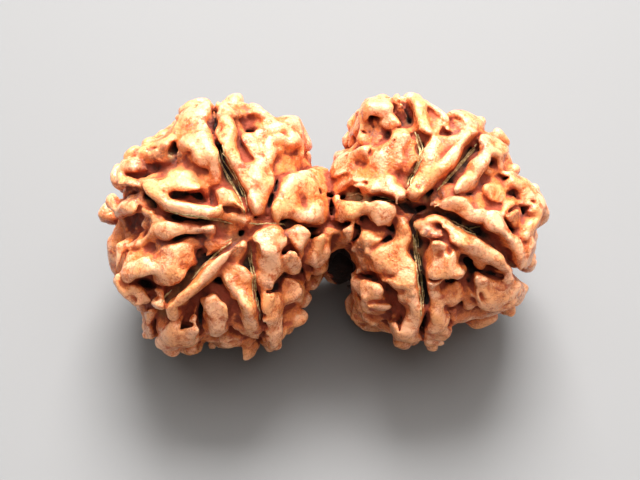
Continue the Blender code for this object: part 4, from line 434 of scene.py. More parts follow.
# Broad lobes of the right bead: depth of the top below the outer surface, outline
RIGHT_LOBES = [
    (0.6, [(5.0, 3.4), (5.6, 3.2), (5.9, 3.9), (5.8, 5.6), (5.5, 5.6), (5.2, 4.4)]),
    (0.4, [(7.1, 8.2), (7.6, 8.0), (8.2, 7.4), (8.5, 7.1), (8.3, 6.6), (7.2, 6.7)]),
    (0.6, [(8.2, 7.3), (9.6, 7.3), (10.0, 6.8), (9.2, 6.1), (8.0, 6.1), (7.8, 6.6)]),
    (0.75, [(12.9, 1.5), (14.4, 1.5), (14.7, 0.2), (14.3, -1.0), (13.2, -1.3), (12.9, -0.4)]),
    (0.4, [(7.4, 0.1), (8.0, -0.1), (8.6, -0.6), (8.8, -1.3), (8.0, -1.4), (7.4, -0.8)]),
    (0.45, [(1.8, 4.0), (1.8, 4.9), (3.0, 5.0), (3.05, 4.3), (2.9, 3.9)]),
    (0.1, [(1.9, 6.3), (2.2, 7.0), (2.4, 7.9), (2.7, 8.4), (3.1, 8.8), (3.6, 8.9), (4.0, 8.7),
        (4.3, 8.8), (4.7, 8.6), (4.8, 8.2), (4.5, 7.8), (4.0, 7.8), (3.5, 7.9), (3.0, 7.9), (2.8, 7.6),
        (2.7, 7.2), (2.5, 6.8), (2.2, 6.4)]),
    (1.15, [(2.9, 8.1), (4.2, 7.9), (4.1, 7.2), (4.2, 6.6), (4.1, 6.0), (3.7, 5.3), (3.0, 5.2),
        (2.5, 5.3), (2.4, 6.0), (3.0, 6.5), (3.0, 7.4)]),
    (0.15, [(4.0, 7.3), (4.3, 7.65), (4.7, 7.75), (5.0, 7.5), (5.15, 7.1), (4.7, 6.9), (4.3, 6.85)]),
    (0.05, [(4.9, 6.75), (5.4, 6.8), (5.7, 6.4), (5.6, 5.8), (5.45, 5.1), (5.2, 4.5), (4.9, 4.0),
        (4.8, 3.5), (4.6, 3.1), (4.7, 2.7), (5.3, 2.5), (5.7, 2.4), (5.75, 2.0), (5.4, 1.8),
        (5.3, 1.45), (4.6, 1.6), (4.0, 1.8), (3.5, 2.0), (3.1, 2.3), (3.0, 2.7), (2.9, 3.0),
        (2.3, 2.95), (1.85, 3.0), (1.8, 3.5), (2.0, 3.9), (2.9, 3.95), (3.1, 4.3), (3.0, 4.9),
        (3.3, 5.15), (3.8, 5.3), (4.2, 5.7), (4.3, 6.3)]),
    (0.57, [(4.7, 3.5), (5.3, 3.3), (5.7, 2.9), (5.7, 2.4), (5.0, 2.4), (4.5, 2.7)]),
    (0.05, [(0.5, 3.9), (0.7, 4.4), (1.0, 4.8), (1.4, 5.1), (2.0, 5.25), (2.6, 5.2), (3.0, 5.0),
        (2.75, 4.85), (2.2, 4.85), (1.85, 4.7), (1.8, 4.2), (1.9, 3.9), (1.7, 3.7), (1.2, 3.85),
        (0.8, 3.6), (0.5, 3.4)]),
    (0.6, [(1.1, 5.6), (1.1, 6.1), (1.5, 6.25), (2.0, 6.2), (2.4, 6.2), (2.5, 5.8), (2.2, 5.5),
        (1.7, 5.4), (1.2, 5.4)]),
    (0.92, [(0.75, 5.4), (1.6, 5.4), (2.4, 5.5), (2.6, 5.1), (1.6, 4.9), (0.8, 4.8)]),
    (0.6, [(0.35, 3.6), (1.2, 3.7), (1.9, 3.6), (1.8, 2.8), (1.3, 2.4), (0.7, 2.2), (0.3, 2.4)]),
    (0.57, [(5.7, 6.1), (6.0, 5.9), (6.1, 5.4), (6.3, 4.7), (6.3, 4.1), (6.05, 3.6), (5.8, 3.2),
        (5.65, 3.1), (5.85, 3.8), (5.9, 4.3), (5.75, 4.9)]),
    (0.0, [(4.9, 8.7), (5.0, 9.25), (5.4, 9.4), (5.8, 9.15), (6.4, 9.2), (6.9, 8.95), (7.5, 8.45),
        (8.0, 7.9), (8.4, 7.55), (8.6, 7.2), (8.2, 7.2), (7.8, 7.75), (7.3, 8.1), (7.05, 7.9),
        (7.1, 7.4), (7.0, 6.9), (6.8, 6.55), (6.4, 6.6), (6.2, 7.1), (6.05, 7.8), (5.85, 8.3),
        (5.4, 8.55)]),
    (0.3, [(7.25, 6.75), (7.8, 6.85), (7.95, 6.5), (7.6, 6.2), (7.3, 6.35)]),
    (0.35, [(8.2, 6.9), (8.6, 6.9), (8.6, 6.3), (8.2, 6.3)]),
    (0.8, [(8.4, 7.5), (9.0, 7.6), (9.2, 7.4), (9.8, 7.4), (10.2, 7.0), (10.4, 6.8), (10.0, 6.3),
        (9.5, 6.0), (8.8, 6.1), (8.7, 6.7), (8.6, 7.0)]),
    (0.05, [(8.4, 7.5), (9.1, 7.8), (9.7, 8.0), (10.3, 7.9), (10.9, 7.6), (11.0, 7.2), (10.9, 6.8),
        (10.4, 6.85), (9.9, 7.0), (9.7, 7.3), (9.2, 7.4)]),
    (0.05, [(7.0, 5.4), (7.3, 5.8), (8.0, 5.85), (8.6, 5.8), (9.2, 5.9), (9.6, 6.2), (10.0, 6.7),
        (10.5, 6.85), (10.9, 6.5), (10.7, 6.1), (10.4, 5.7), (10.0, 5.4), (9.6, 5.0), (9.2, 4.6),
        (8.7, 4.1), (8.1, 3.65), (7.6, 3.8), (7.2, 4.3), (6.9, 4.6), (6.9, 5.2)]),
    (0.05, [(7.2, 4.4), (6.8, 4.0), (6.4, 3.4), (6.1, 3.0), (5.95, 2.4), (6.1, 2.0), (6.6, 2.1),
        (7.0, 2.4), (7.4, 2.8), (7.9, 3.4), (7.6, 3.6), (7.4, 4.0)]),
    (0.05, [(11.35, 4.7), (11.2, 4.3), (10.9, 4.0), (10.6, 3.6), (10.2, 3.1), (9.8, 2.6), (9.3, 2.3),
        (9.1, 2.6), (9.3, 3.1), (9.7, 3.7), (10.1, 4.2), (10.6, 4.5), (11.1, 4.8)]),
    (1.26, [(10.4, 3.3), (10.9, 3.9), (11.4, 3.9), (11.3, 3.2), (11.0, 2.5), (10.4, 2.2), (9.9, 2.4)]),
    (0.05, [(11.0, 6.3), (11.5, 6.4), (12.2, 6.2), (12.7, 5.9), (12.9, 5.3), (12.8, 4.9), (12.5, 4.8),
        (12.1, 4.8), (11.6, 4.75), (11.3, 4.7), (11.2, 5.2), (11.2, 5.8), (11.0, 6.0)]),
    (0.25, [(12.0, 4.9), (12.45, 4.9), (12.45, 4.2), (12.35, 3.7), (12.05, 3.7), (12.1, 4.3)]),
    (0.45, [(11.1, 3.85), (11.6, 3.75), (12.2, 3.75), (12.2, 3.45), (11.4, 3.5), (11.0, 3.6)]),
    (0.8, [(11.0, 3.5), (12.1, 3.5), (13.0, 3.5), (13.0, 3.1), (12.2, 2.7), (11.1, 2.8)]),
    # Towards the join and the pole
    (0.15, [(0.6, 0.7), (0.7, 1.3), (1.2, 1.5), (1.9, 1.35), (2.4, 1.2), (2.9, 1.25), (3.1, 1.0),
        (2.8, 0.75), (2.1, 0.65), (1.4, 0.5), (1.0, 0.4)]),
    (0.25, [(2.9, 1.1), (3.1, 0.5), (3.3, 0.1), (3.7, -0.15), (4.3, -0.1), (4.8, 0.3), (5.1, 0.8),
        (4.9, 1.2), (4.3, 1.5), (3.6, 1.5), (3.2, 1.3)]),
    (1.03, [(2.0, 0.1), (2.3, 0.2), (2.6, 0.0), (2.6, -0.9), (2.3, -1.1), (2.0, -0.8)]),
    (0.1, [(1.0, -0.2), (1.5, -0.1), (1.8, -0.3), (1.85, -0.9), (1.7, -1.3), (1.3, -1.3), (1.0, -0.9)]),
    (0.35, [(2.6, -0.7), (3.0, -0.6), (3.3, -0.9), (4.0, -1.0), (3.4, -1.35), (3.1, -1.8), (3.1, -2.2),
        (3.3, -2.5), (3.5, -2.8), (3.5, -3.15), (2.6, -3.2), (2.3, -2.8), (2.0, -2.1), (1.9, -1.6),
        (2.3, -1.2)]),
    (0.63, [(2.5, -0.35), (3.4, -0.5), (4.3, -0.6), (4.3, -1.0), (3.3, -0.95), (2.6, -0.75)]),
    (0.1, [(3.1, -1.8), (3.5, -1.5), (4.2, -1.55), (4.9, -1.5), (5.2, -1.0), (5.2, -0.4), (5.3, 0.1),
        (5.1, 0.6), (5.5, 0.6), (5.8, 0.2), (5.9, -0.4), (5.7, -1.0), (5.5, -1.6), (5.5, -2.1),
        (5.7, -2.5), (6.0, -3.0), (6.2, -3.5), (6.3, -4.2), (5.6, -4.0), (5.3, -3.5), (5.0, -3.05),
        (4.3, -3.05), (3.5, -3.0), (3.2, -2.6)]),
    (0.25, [(5.2, -3.0), (6.0, -3.0), (6.3, -4.2), (6.35, -4.8), (6.1, -4.7), (5.6, -4.5), (5.1, -4.5),
        (4.8, -4.2), (4.6, -3.8), (4.2, -3.7), (5.1, -3.4)]),
    (0.75, [(3.6, -3.1), (5.0, -3.1), (5.2, -3.6), (4.4, -3.75), (3.7, -3.5)]),
    # Lower left
    (0.1, [(2.1, -3.9), (2.4, -3.9), (2.8, -4.1), (3.4, -4.3), (3.9, -4.4), (4.2, -4.8), (4.1, -5.3),
        (3.6, -5.4), (3.0, -5.4), (2.7, -5.0), (2.4, -4.6), (2.1, -4.3)]),
    (0.35, [(2.0, -5.2), (2.3, -5.4), (2.6, -5.55), (3.0, -5.85), (3.6, -5.85), (4.2, -5.75),
        (4.4, -5.9), (4.0, -6.2), (3.3, -6.3), (2.7, -6.3), (2.3, -6.1), (2.1, -5.7)]),
    (0.8, [(1.2, -5.2), (1.5, -5.0), (1.9, -5.1), (1.9, -5.7), (2.1, -6.2), (2.7, -6.5), (3.0, -6.9),
        (2.8, -7.2), (2.0, -7.3), (1.5, -7.1), (1.3, -6.6), (1.2, -5.9)]),
    (1.38, [(4.6, -5.9), (5.6, -5.9), (5.6, -6.4), (4.6, -6.4)]),
    (0.1, [(6.1, -4.8), (6.4, -4.8), (6.5, -5.5), (6.5, -6.0), (6.6, -6.6), (6.65, -7.1), (6.6, -7.7),
        (6.4, -8.2), (6.1, -8.3), (5.5, -8.1), (5.0, -7.9), (4.7, -7.5), (4.6, -7.1), (4.9, -7.05),
        (5.1, -7.4), (5.4, -7.4), (5.6, -7.0), (5.7, -6.4), (5.6, -6.0), (5.4, -5.5), (5.3, -5.0),
        (5.7, -4.9)]),
    (1.03, [(4.6, -7.9), (5.2, -8.15), (6.0, -8.4), (6.3, -8.5), (6.1, -8.9), (5.2, -9.1), (4.7, -8.9),
        (4.3, -8.4)]),
    # Right
    (0.1, [(7.5, 1.15), (8.0, 1.2), (8.4, 1.45), (8.8, 1.8), (9.2, 2.0), (9.6, 2.0), (9.9, 1.9),
        (10.1, 1.5), (10.2, 1.0), (10.5, 0.85), (10.9, 1.0), (11.2, 0.7), (11.2, 0.35), (10.8, 0.2),
        (10.1, 0.25), (9.6, 0.55), (9.1, 0.8), (8.3, 0.8), (7.8, 0.85)]),
    (1.03, [(7.3, 1.9), (7.9, 2.4), (8.7, 2.5), (9.4, 2.3), (9.3, 1.9), (8.6, 1.5), (7.9, 1.1),
        (7.3, 1.2)]),
    (0.69, [(10.4, 2.4), (11.2, 2.6), (12.0, 2.0), (12.1, 1.5), (11.9, 1.0), (11.2, 0.9), (10.6, 1.2),
        (10.4, 1.8)]),
    (0.0, [(7.2, 0.3), (7.7, 0.35), (8.3, 0.05), (9.0, -0.45), (9.7, -0.8), (10.5, -1.1), (11.1, -1.5),
        (11.8, -1.95), (12.4, -2.3), (12.9, -2.8), (13.0, -3.2), (12.6, -3.05), (12.1, -2.75),
        (11.4, -2.5), (10.9, -2.15), (10.2, -1.95), (9.3, -1.9), (8.8, -1.5), (8.7, -0.95), (8.3, -0.5),
        (8.0, -0.1), (7.5, 0.05)]),
    (0.45, [(6.2, 0.0), (6.9, 0.3), (7.5, 0.3), (8.1, 0.0), (8.6, -0.6), (9.0, -1.1), (9.0, -1.7),
        (8.3, -1.8), (7.6, -1.55), (7.2, -1.4), (6.9, -1.0), (6.5, -0.5)]),
    (0.05, [(7.35, -1.7), (7.9, -1.55), (8.6, -1.65), (9.2, -2.0), (9.35, -2.4), (9.3, -2.8),
        (9.6, -3.1), (9.85, -3.5), (9.6, -3.85), (9.2, -3.95), (8.5, -3.9), (7.9, -4.0), (7.4, -4.0),
        (7.25, -3.3), (7.25, -2.4)]),
    (0.92, [(10.75, -2.9), (10.9, -2.5), (11.4, -2.4), (11.7, -2.6), (11.4, -2.9), (11.2, -3.1),
        (10.9, -3.15)]),
    (0.05, [(11.1, 2.9), (11.6, 2.95), (12.1, 2.8), (12.3, 2.3), (12.45, 2.1), (12.2, 1.85),
        (11.7, 1.9), (11.4, 2.1), (11.1, 2.5)]),
    (0.15, [(12.2, 3.6), (13.0, 3.5), (13.6, 3.1), (14.2, 2.8), (14.6, 2.3), (15.1, 1.8), (15.4, 1.1),
        (15.65, 0.6), (15.4, 0.3), (15.2, 0.0), (14.9, -0.3), (14.6, -0.8), (14.3, -1.1), (14.1, -1.1),
        (14.3, -0.5), (14.4, 0.1), (14.7, 0.4), (14.3, 0.6), (14.1, 0.9), (14.5, 1.2), (14.6, 1.6),
        (14.0, 1.8), (13.5, 1.9), (13.1, 2.0), (12.8, 2.3), (12.8, 2.7), (12.9, 3.1), (12.5, 3.3)]),
    (0.35, [(12.1, 0.6), (12.2, 1.2), (12.4, 1.7), (12.8, 1.9), (13.2, 1.8), (13.5, 1.5), (13.4, 1.2),
        (13.0, 1.1), (12.7, 0.9), (12.5, 0.7), (12.4, 0.5)]),
    (0.25, [(13.6, 1.5), (14.0, 1.65), (14.5, 1.5), (14.4, 1.25), (13.8, 1.2)]),
    (0.05, [(12.7, 0.4), (13.0, 0.6), (13.3, 0.6), (13.5, 0.3), (13.7, -0.1), (13.7, -0.4),
        (13.4, -0.5), (13.1, -0.3), (12.9, 0.0)]),
    (0.0, [(11.2, 0.5), (11.5, 0.9), (11.9, 0.9), (12.1, 0.5), (12.2, 0.1), (12.4, -0.3), (12.8, -0.8),
        (13.1, -1.2), (13.15, -1.5), (13.1, -1.8), (12.8, -1.6), (12.3, -1.2), (11.8, -0.8),
        (11.4, -0.4), (11.2, 0.0)]),
    (0.15, [(13.3, -1.4), (13.7, -1.4), (14.0, -1.7), (14.1, -2.1), (13.9, -2.5), (13.6, -2.7),
        (13.3, -2.5), (13.1, -2.2), (13.3, -1.8)]),
    (0.15, [(14.5, -1.0), (14.8, -1.3), (14.75, -1.8), (14.5, -2.3), (14.4, -2.9), (14.2, -3.4),
        (13.9, -3.2), (13.6, -2.9), (14.0, -2.6), (14.15, -2.1), (14.2, -1.5), (14.4, -1.2)]),
    # Lower right
    (0.1, [(7.3, -4.0), (8.0, -4.0), (8.0, -4.7), (7.95, -5.3), (8.1, -5.8), (8.15, -6.2), (8.4, -6.7),
        (8.6, -7.2), (8.6, -7.6), (8.3, -7.9), (7.7, -7.9), (7.3, -7.7), (7.4, -7.0), (7.3, -6.3),
        (7.3, -5.5)]),
    (0.8, [(6.7, -8.7), (7.0, -8.2), (7.5, -8.1), (8.1, -8.05), (8.4, -8.3), (8.3, -8.8), (7.8, -9.0),
        (7.0, -9.1)]),
    (0.3, [(8.1, -4.9), (8.5, -4.7), (8.8, -4.9), (9.0, -5.1), (9.1, -4.9), (9.0, -4.5), (9.2, -4.2),
        (9.4, -4.4), (9.6, -4.9), (9.5, -5.3), (9.2, -5.6), (8.7, -5.6), (8.2, -5.5)]),
    (0.92, [(9.6, -4.7), (9.9, -4.5), (10.2, -4.9), (10.25, -5.5), (10.0, -5.7), (9.7, -5.4)]),
    (1.15, [(8.2, -5.9), (9.0, -5.8), (9.3, -6.1), (9.1, -6.6), (8.6, -6.6), (8.3, -6.4)]),
    (1.61, [(8.6, -6.9), (9.6, -6.8), (10.3, -7.0), (10.2, -7.7), (9.3, -7.8), (8.6, -7.5)]),
    (0.05, [(10.5, -3.8), (10.75, -3.8), (11.0, -4.0), (11.3, -4.0), (11.9, -4.2), (12.6, -4.4),
        (12.9, -4.3), (13.1, -4.2), (13.5, -4.3), (13.8, -4.7), (13.8, -5.2), (13.5, -5.7),
        (13.1, -5.9), (12.5, -6.0), (11.8, -6.0), (11.4, -5.9), (11.0, -5.6), (10.8, -5.2),
        (10.7, -4.7), (10.5, -4.3)]),
    (0.05, [(12.9, -3.3), (13.2, -3.6), (13.3, -3.9), (13.1, -4.2), (12.8, -4.2), (12.6, -4.0),
        (12.7, -3.6)]),
    (0.92, [(11.3, -6.1), (12.5, -6.1), (13.3, -6.0), (13.1, -6.4), (12.6, -6.8), (12.0, -6.8),
        (11.7, -6.5)]),
    (1.03, [(10.7, -6.3), (11.2, -6.4), (11.7, -6.7), (12.2, -6.9), (11.9, -7.3), (11.3, -7.5),
        (10.9, -7.3)]),
]

# The dark arch between the beads, and the painted shade over it: below which height, how far round it and
# how dark
ARCH = [
    (0.3, -2.2), (0.65, -1.8), (1.2, -1.4), (1.6, -1.7), (2.0, -2.3), (2.3, -2.9), (2.1, -3.5),
    (2.0, -4.0), (1.7, -4.6), (1.2, -4.4), (0.7, -3.8), (0.35, -3.3),
]
ARCH_HEIGHT = 1.5
ARCH_MARGIN = 0.3
ARCH_SHADE = 0.8

# Hollows of the right bead: depth of the floor, outline
RIGHT_HOLLOWS = [
    (0.95, [(2.5, 6.6), (2.6, 7.2), (2.75, 7.6), (2.95, 7.2), (3.0, 6.7), (2.7, 6.5)]),
    (0.9, [(3.8, 6.9), (4.25, 6.85), (4.3, 6.3), (3.9, 6.2)]),
    (0.5, [(1.85, 4.85), (2.2, 4.9), (2.75, 4.9), (2.9, 4.5), (2.85, 4.1), (2.3, 4.0), (1.85, 4.1),
        (1.8, 4.5)]),
    (1.75, [(0.9, 1.6), (0.8, 2.0), (1.3, 2.4), (1.9, 2.7), (2.3, 2.9), (2.9, 2.8), (3.0, 2.4),
        (3.3, 2.1), (3.7, 1.9), (3.6, 1.6), (3.0, 1.3), (2.0, 1.4), (1.5, 1.55)]),
    (1.27, [(5.45, 4.9), (5.1, 4.2), (4.95, 3.6), (5.2, 3.2), (5.6, 3.1), (5.85, 3.7), (5.85, 4.2),
        (5.7, 4.8), (5.75, 5.9), (5.6, 5.9)]),
    (1.86, [(4.9, 8.65), (5.35, 8.5), (5.8, 8.2), (6.0, 7.7), (6.15, 7.1), (6.35, 6.6), (6.6, 6.2),
        (6.85, 5.4), (6.88, 4.6), (6.75, 4.1), (6.35, 3.45), (6.0, 3.0), (5.9, 2.4), (6.05, 1.9),
        (5.75, 1.75), (5.7, 2.3), (5.65, 3.0), (6.05, 3.55), (6.4, 4.2), (6.5, 4.8), (6.35, 5.4),
        (6.05, 6.1), (5.8, 6.7), (5.5, 7.2), (5.2, 7.8), (4.8, 8.3)]),
    (0.7, [(7.1, 8.1), (7.6, 7.95), (8.1, 7.45), (8.4, 7.0), (8.2, 6.7), (7.9, 6.9), (7.4, 6.95),
        (7.1, 6.9)]),
    (1.44, [(6.3, 6.55), (6.9, 6.4), (7.4, 6.2), (7.9, 6.0), (7.3, 5.85), (6.9, 5.45), (6.6, 5.6)]),
    (1.1, [(7.9, 6.2), (8.6, 6.3), (9.0, 6.1), (8.7, 5.9), (8.0, 5.95)]),
    (1.5, [(7.0, 1.8), (7.4, 2.6), (7.95, 3.3), (8.15, 3.6), (8.7, 4.0), (9.2, 4.5), (9.7, 5.0),
        (10.3, 5.6), (10.8, 6.1), (11.0, 6.3), (11.0, 5.6), (11.1, 5.0), (10.8, 4.9), (10.4, 4.5),
        (9.9, 4.0), (9.5, 3.4), (9.1, 2.9), (8.9, 2.5), (8.3, 2.3), (7.6, 2.0)]),
    (2.13, [(11.35, 4.65), (11.95, 4.7), (12.0, 4.0), (11.5, 3.95), (11.3, 4.1)]),
    (1.44, [(12.45, 4.7), (12.9, 4.7), (12.9, 4.0), (12.5, 4.0)]),
    (1.59, [(1.0, 0.45), (2.0, 0.6), (2.9, 0.6), (3.1, 0.3), (2.8, -0.3), (2.0, -0.1), (1.2, -0.05)]),
    (3.9, ARCH),
    (2.1, [(3.0, 0.05), (3.4, -0.25), (4.2, -0.25), (4.6, 0.05), (4.9, 0.25), (5.25, 0.2), (5.15, -0.5),
        (5.1, -0.95), (4.5, -1.0), (4.1, -0.75), (3.4, -0.55), (2.9, -0.35)]),
    (1.02, [(2.95, -1.35), (3.6, -1.3), (4.3, -1.15), (4.3, -1.35), (3.6, -1.5), (3.0, -1.55)]),
    (3.6, [(5.2, 1.8), (5.9, 1.9), (6.6, 1.9), (7.2, 1.7), (7.3, 1.0), (6.6, 0.8), (6.1, 0.6),
        (5.6, 0.7), (5.2, 1.2)]),
    (1.95, [(6.0, 0.7), (6.8, 0.9), (7.3, 0.9), (7.2, 0.4), (6.6, 0.2), (6.1, 0.1)]),
    (1.27, [(9.9, 2.3), (10.2, 2.2), (10.4, 1.7), (10.7, 1.15), (10.6, 0.9), (10.3, 0.9), (10.15, 1.2),
        (10.1, 1.7)]),
    (1.59, [(7.0, 0.9), (7.6, 0.8), (8.2, 0.75), (9.0, 0.75), (9.6, 0.45), (10.1, 0.15), (11.1, 0.1),
        (11.3, -0.4), (11.7, -0.9), (12.3, -1.3), (12.9, -1.7), (13.2, -2.2), (13.4, -2.8),
        (13.6, -3.3), (13.2, -3.3), (12.8, -2.75), (12.3, -2.25), (11.6, -1.85), (11.2, -1.5),
        (10.7, -1.1), (10.0, -0.85), (9.3, -0.5), (8.6, 0.0), (8.0, 0.3), (7.4, 0.4), (7.1, 0.5)]),
    (2.8, [(9.35, -2.5), (9.6, -2.2), (10.2, -2.2), (10.8, -2.3), (11.1, -2.45), (10.8, -2.7),
        (10.7, -3.0), (11.2, -3.15), (11.8, -3.1), (12.6, -3.3), (12.6, -3.7), (12.3, -3.95),
        (11.4, -3.9), (10.7, -3.75), (10.4, -4.3), (10.2, -4.6), (9.8, -4.4), (9.9, -3.8), (9.9, -3.4),
        (9.6, -2.9)]),
    (1.5, [(6.0, 0.2), (6.3, -0.2), (6.6, -0.8), (6.95, -1.3), (7.25, -1.8), (7.25, -2.4), (7.2, -3.2),
        (7.25, -4.0), (7.2, -4.7), (6.35, -4.8), (6.3, -4.1), (6.25, -3.3), (6.05, -2.8), (5.7, -2.3),
        (5.75, -1.6), (6.0, -0.9), (5.95, -0.2)]),
    (2.22, [(6.4, -4.7), (7.2, -4.6), (7.25, -5.5), (7.25, -6.3), (7.35, -7.0), (7.25, -7.8),
        (6.9, -8.4), (6.6, -8.2), (6.7, -7.5), (6.6, -6.5), (6.5, -5.5)]),
    (2.04, [(7.0, -1.9), (7.3, -2.0), (7.3, -3.5), (7.0, -4.2), (6.8, -3.2)]),
    (0.6, [(13.1, 0.95), (13.5, 1.1), (14.0, 1.1), (14.1, 0.8), (14.4, 0.4), (14.2, 0.1), (13.9, 0.0),
        (13.7, 0.1), (13.5, 0.45), (13.3, 0.7)]),
    (0.94, [(12.2, 0.3), (12.7, 0.35), (12.85, -0.05), (13.0, -0.4), (12.6, -0.35)]),
    (0.75, [(13.5, -0.45), (13.9, -0.4), (14.3, -0.8), (14.0, -1.0), (13.9, -1.3), (13.2, -1.3),
        (13.3, -0.9)]),
    (2.4, [(2.5, -3.3), (3.4, -3.2), (3.7, -3.5), (4.1, -3.9), (4.2, -4.15), (3.8, -4.25), (3.2, -4.1),
        (2.8, -3.85), (2.6, -3.6)]),
    (1.59, [(2.0, -4.4), (2.5, -4.95), (2.9, -5.5), (3.5, -5.55), (4.0, -5.55), (4.0, -5.75),
        (3.3, -5.75), (2.7, -5.6), (2.3, -5.2), (1.9, -4.7)]),
    (2.7, [(3.0, -6.4), (4.0, -6.3), (4.6, -6.4), (5.3, -6.5), (5.5, -6.9), (5.3, -7.2), (4.9, -6.95),
        (4.4, -7.1), (4.4, -7.6), (3.9, -8.2), (3.7, -7.4), (3.0, -7.0)]),
    (1.95, [(8.1, -4.4), (8.6, -4.15), (9.2, -4.15), (8.95, -4.5), (8.9, -4.75), (8.4, -4.65)]),
    (2.31, [(9.7, -3.7), (10.3, -3.9), (10.4, -4.4), (10.6, -5.0), (10.8, -5.7), (10.9, -6.3),
        (10.4, -6.7), (9.6, -6.6), (9.4, -6.2), (10.2, -5.8), (10.35, -5.2), (10.0, -4.4), (9.7, -4.5)]),
    (1.59, [(8.1, -5.6), (9.2, -5.7), (9.9, -5.8), (9.4, -6.0), (8.8, -5.8), (8.2, -5.85)]),
]

# Fine furrows of the right bead: half width, depth, path
RIGHT_FURROWS = [
    (0.2, 1.3, [(4.4, 6.5), (4.3, 5.9), (3.9, 5.4), (3.3, 5.15), (3.05, 4.7)]),
    (0.16, 1.1, [(0.8, 5.3), (1.6, 5.35), (2.5, 5.4), (3.1, 5.25)]),
    (0.14, 0.8, [(3.0, 3.0), (2.6, 3.1), (1.9, 3.0)]),
    (0.14, 0.7, [(4.7, 3.6), (5.3, 3.35), (5.7, 3.0)]),
    (0.07, 0.5, [(4.1, 4.2), (4.5, 5.0), (4.8, 5.9)]),
    (0.12, 0.54, [(5.7, 5.95), (5.62, 5.0)]),
    (0.1, 0.42, [(6.45, 2.75), (6.7, 2.5)]),
    (0.1, 0.78, [(11.1, 3.35), (12.3, 3.35)]),
    (0.07, 0.35, [(13.5, 2.0), (14.1, 1.85), (14.6, 1.65)]),
    (0.1, 0.36, [(12.4, -0.5), (12.7, -0.85), (13.1, -1.2)]),
    (0.12, 0.54, [(10.9, -5.1), (11.1, -5.4)]),
    (0.12, 1.6, [(7.2, -4.0), (7.6, -4.1), (8.2, -3.98), (9.0, -4.05)]),
    (0.12, 0.72, [(7.3, -1.55), (7.9, -1.5), (8.6, -1.75), (9.1, -1.95)]),
    (0.1, 0.54, [(3.0, 6.2), (2.4, 6.5)]),
    (0.12, 0.54, [(5.4, -4.9), (6.0, -5.2)]),
    (0.12, 0.54, [(5.3, -7.1), (5.3, -7.5)]),
]

# Dry crumbs that fill corners: radius of the patch, place
CRUMBS = [
    (0.5, (3.3, 1.85)), (0.5, (4.6, -0.75)), (0.8, (6.3, 0.8)), (0.5, (10.8, 5.3)), (0.3, (10.7, 2.9)),
    (0.3, (10.2, 2.0)), (0.3, (10.4, 1.2)), (0.3, (-2.8, -0.8)), (0.5, (8.0, 2.1)), (0.6, (7.2, -0.6)),
    (0.5, (1.4, -0.4)), (0.6, (2.6, -1.8)), (0.5, (-11.5, 5.0)), (0.7, (-13.0, 4.0)), (0.7, (-12.0, 4.4)),
    (0.6, (-14.0, 2.5)), (0.5, (-10.6, 4.5)), (0.8, (-13.5, 2.0)), (0.6, (-13.6, 0.0)),
    (0.7, (-8.6, -1.0)), (0.5, (-11.6, -1.6)), (0.6, (-6.5, -1.6)), (0.5, (-6.2, 7.5)),
    (0.4, (-8.0, 7.1)), (0.4, (2.6, -3.2)), (0.4, (-3.9, -4.5)), (0.3, (-2.6, -2.2)), (0.4, (5.5, 8.1)),
    (0.5, (-10.3, 4.8)), (0.5, (3.4, 6.4)), (0.4, (8.0, -0.9)), (0.4, (13.6, 0.6)), (0.4, (-12.6, 0.2)),
    (0.5, (7.6, 1.6)), (0.5, (9.2, 6.6)),
]
STRAW_CRUMBS = [
    (0.45, (2.5, 1.7)), (0.35, (-9.8, 3.3)), (0.35, (-10.8, 3.4)), (0.25, (-11.0, 4.8)),
    (0.2, (-10.3, 3.2)), (0.25, (1.7, 2.0)),
]
CRUMB_COUNT = 9
CRUMB_SIZE = (0.1, 0.24)
CRUMB_SCATTER = 0.6
CRUMB_ROOM = 0.6
CRUMB_BLEND = 0.04
PATCH_SLOPE = 4.0

# Straw-like strands on the floors of the face lines: how many side by side, path
STRANDS = [
    (1, [(-5.45, 0.1), (-4.8, 0.0), (-4.0, 0.05), (-3.5, 0.1), (-2.9, 0.0), (-2.75, -0.1)]),
    (4, [(-5.6, 0.7), (-5.9, 2.0), (-6.4, 3.0), (-6.9, 3.8), (-7.4, 4.6), (-7.5, 5.4)]),
    (2, [(-6.3, 0.0), (-7.5, 0.3), (-8.8, 0.45), (-10.0, 0.6), (-11.2, 0.9)]),
    (2, [(-6.6, -1.2), (-7.3, -1.7), (-8.1, -2.4), (-8.9, -3.2), (-9.6, -3.9)]),
    (1, [(-6.6, -1.05), (-7.3, -1.4), (-8.2, -1.75)]),
    (2, [(-10.9, -4.7), (-11.3, -5.2), (-11.6, -5.7)]),
    (3, [(-5.4, -1.6), (-5.25, -2.8), (-5.05, -3.9), (-4.9, -5.2), (-4.7, -6.6)]),
    (1, [(10.9, -0.15), (10.2, -0.35), (9.9, -0.5)]),
    (2, [(8.4, 0.4), (9.2, -0.1), (10.0, -0.5), (10.6, -0.9)]),
    (4, [(6.15, 0.1), (6.3, -1.2), (6.45, -2.4), (6.65, -3.6), (6.8, -4.8), (6.85, -6.2)]),
    (4, [(7.8, 2.3), (8.6, 3.2), (9.4, 4.1), (10.1, 4.9), (10.7, 5.5)]),
    (3, [(5.85, 2.2), (5.9, 3.0), (6.3, 3.7), (6.6, 4.4), (6.65, 5.2), (6.4, 6.1), (5.9, 7.3)]),
    (2, [(4.9, 1.6), (4.1, 1.75), (3.3, 1.9)]),
    (1, [(1.6, 1.95), (2.3, 2.1), (3.0, 1.9)]),
]
STRAND_RADIUS = 0.055
STRAND_STEP = 0.22
STRAND_SPREAD = 0.13
STRAND_SIDES = 5
STRAND_SWAY = 0.02
STRAND_ASIDE = (0.8, 0.6)
STRAND_LIFT = 0.4
STRAND_THICKNESS = (0.7, 1.15)
STRAND_TIP = 0.012

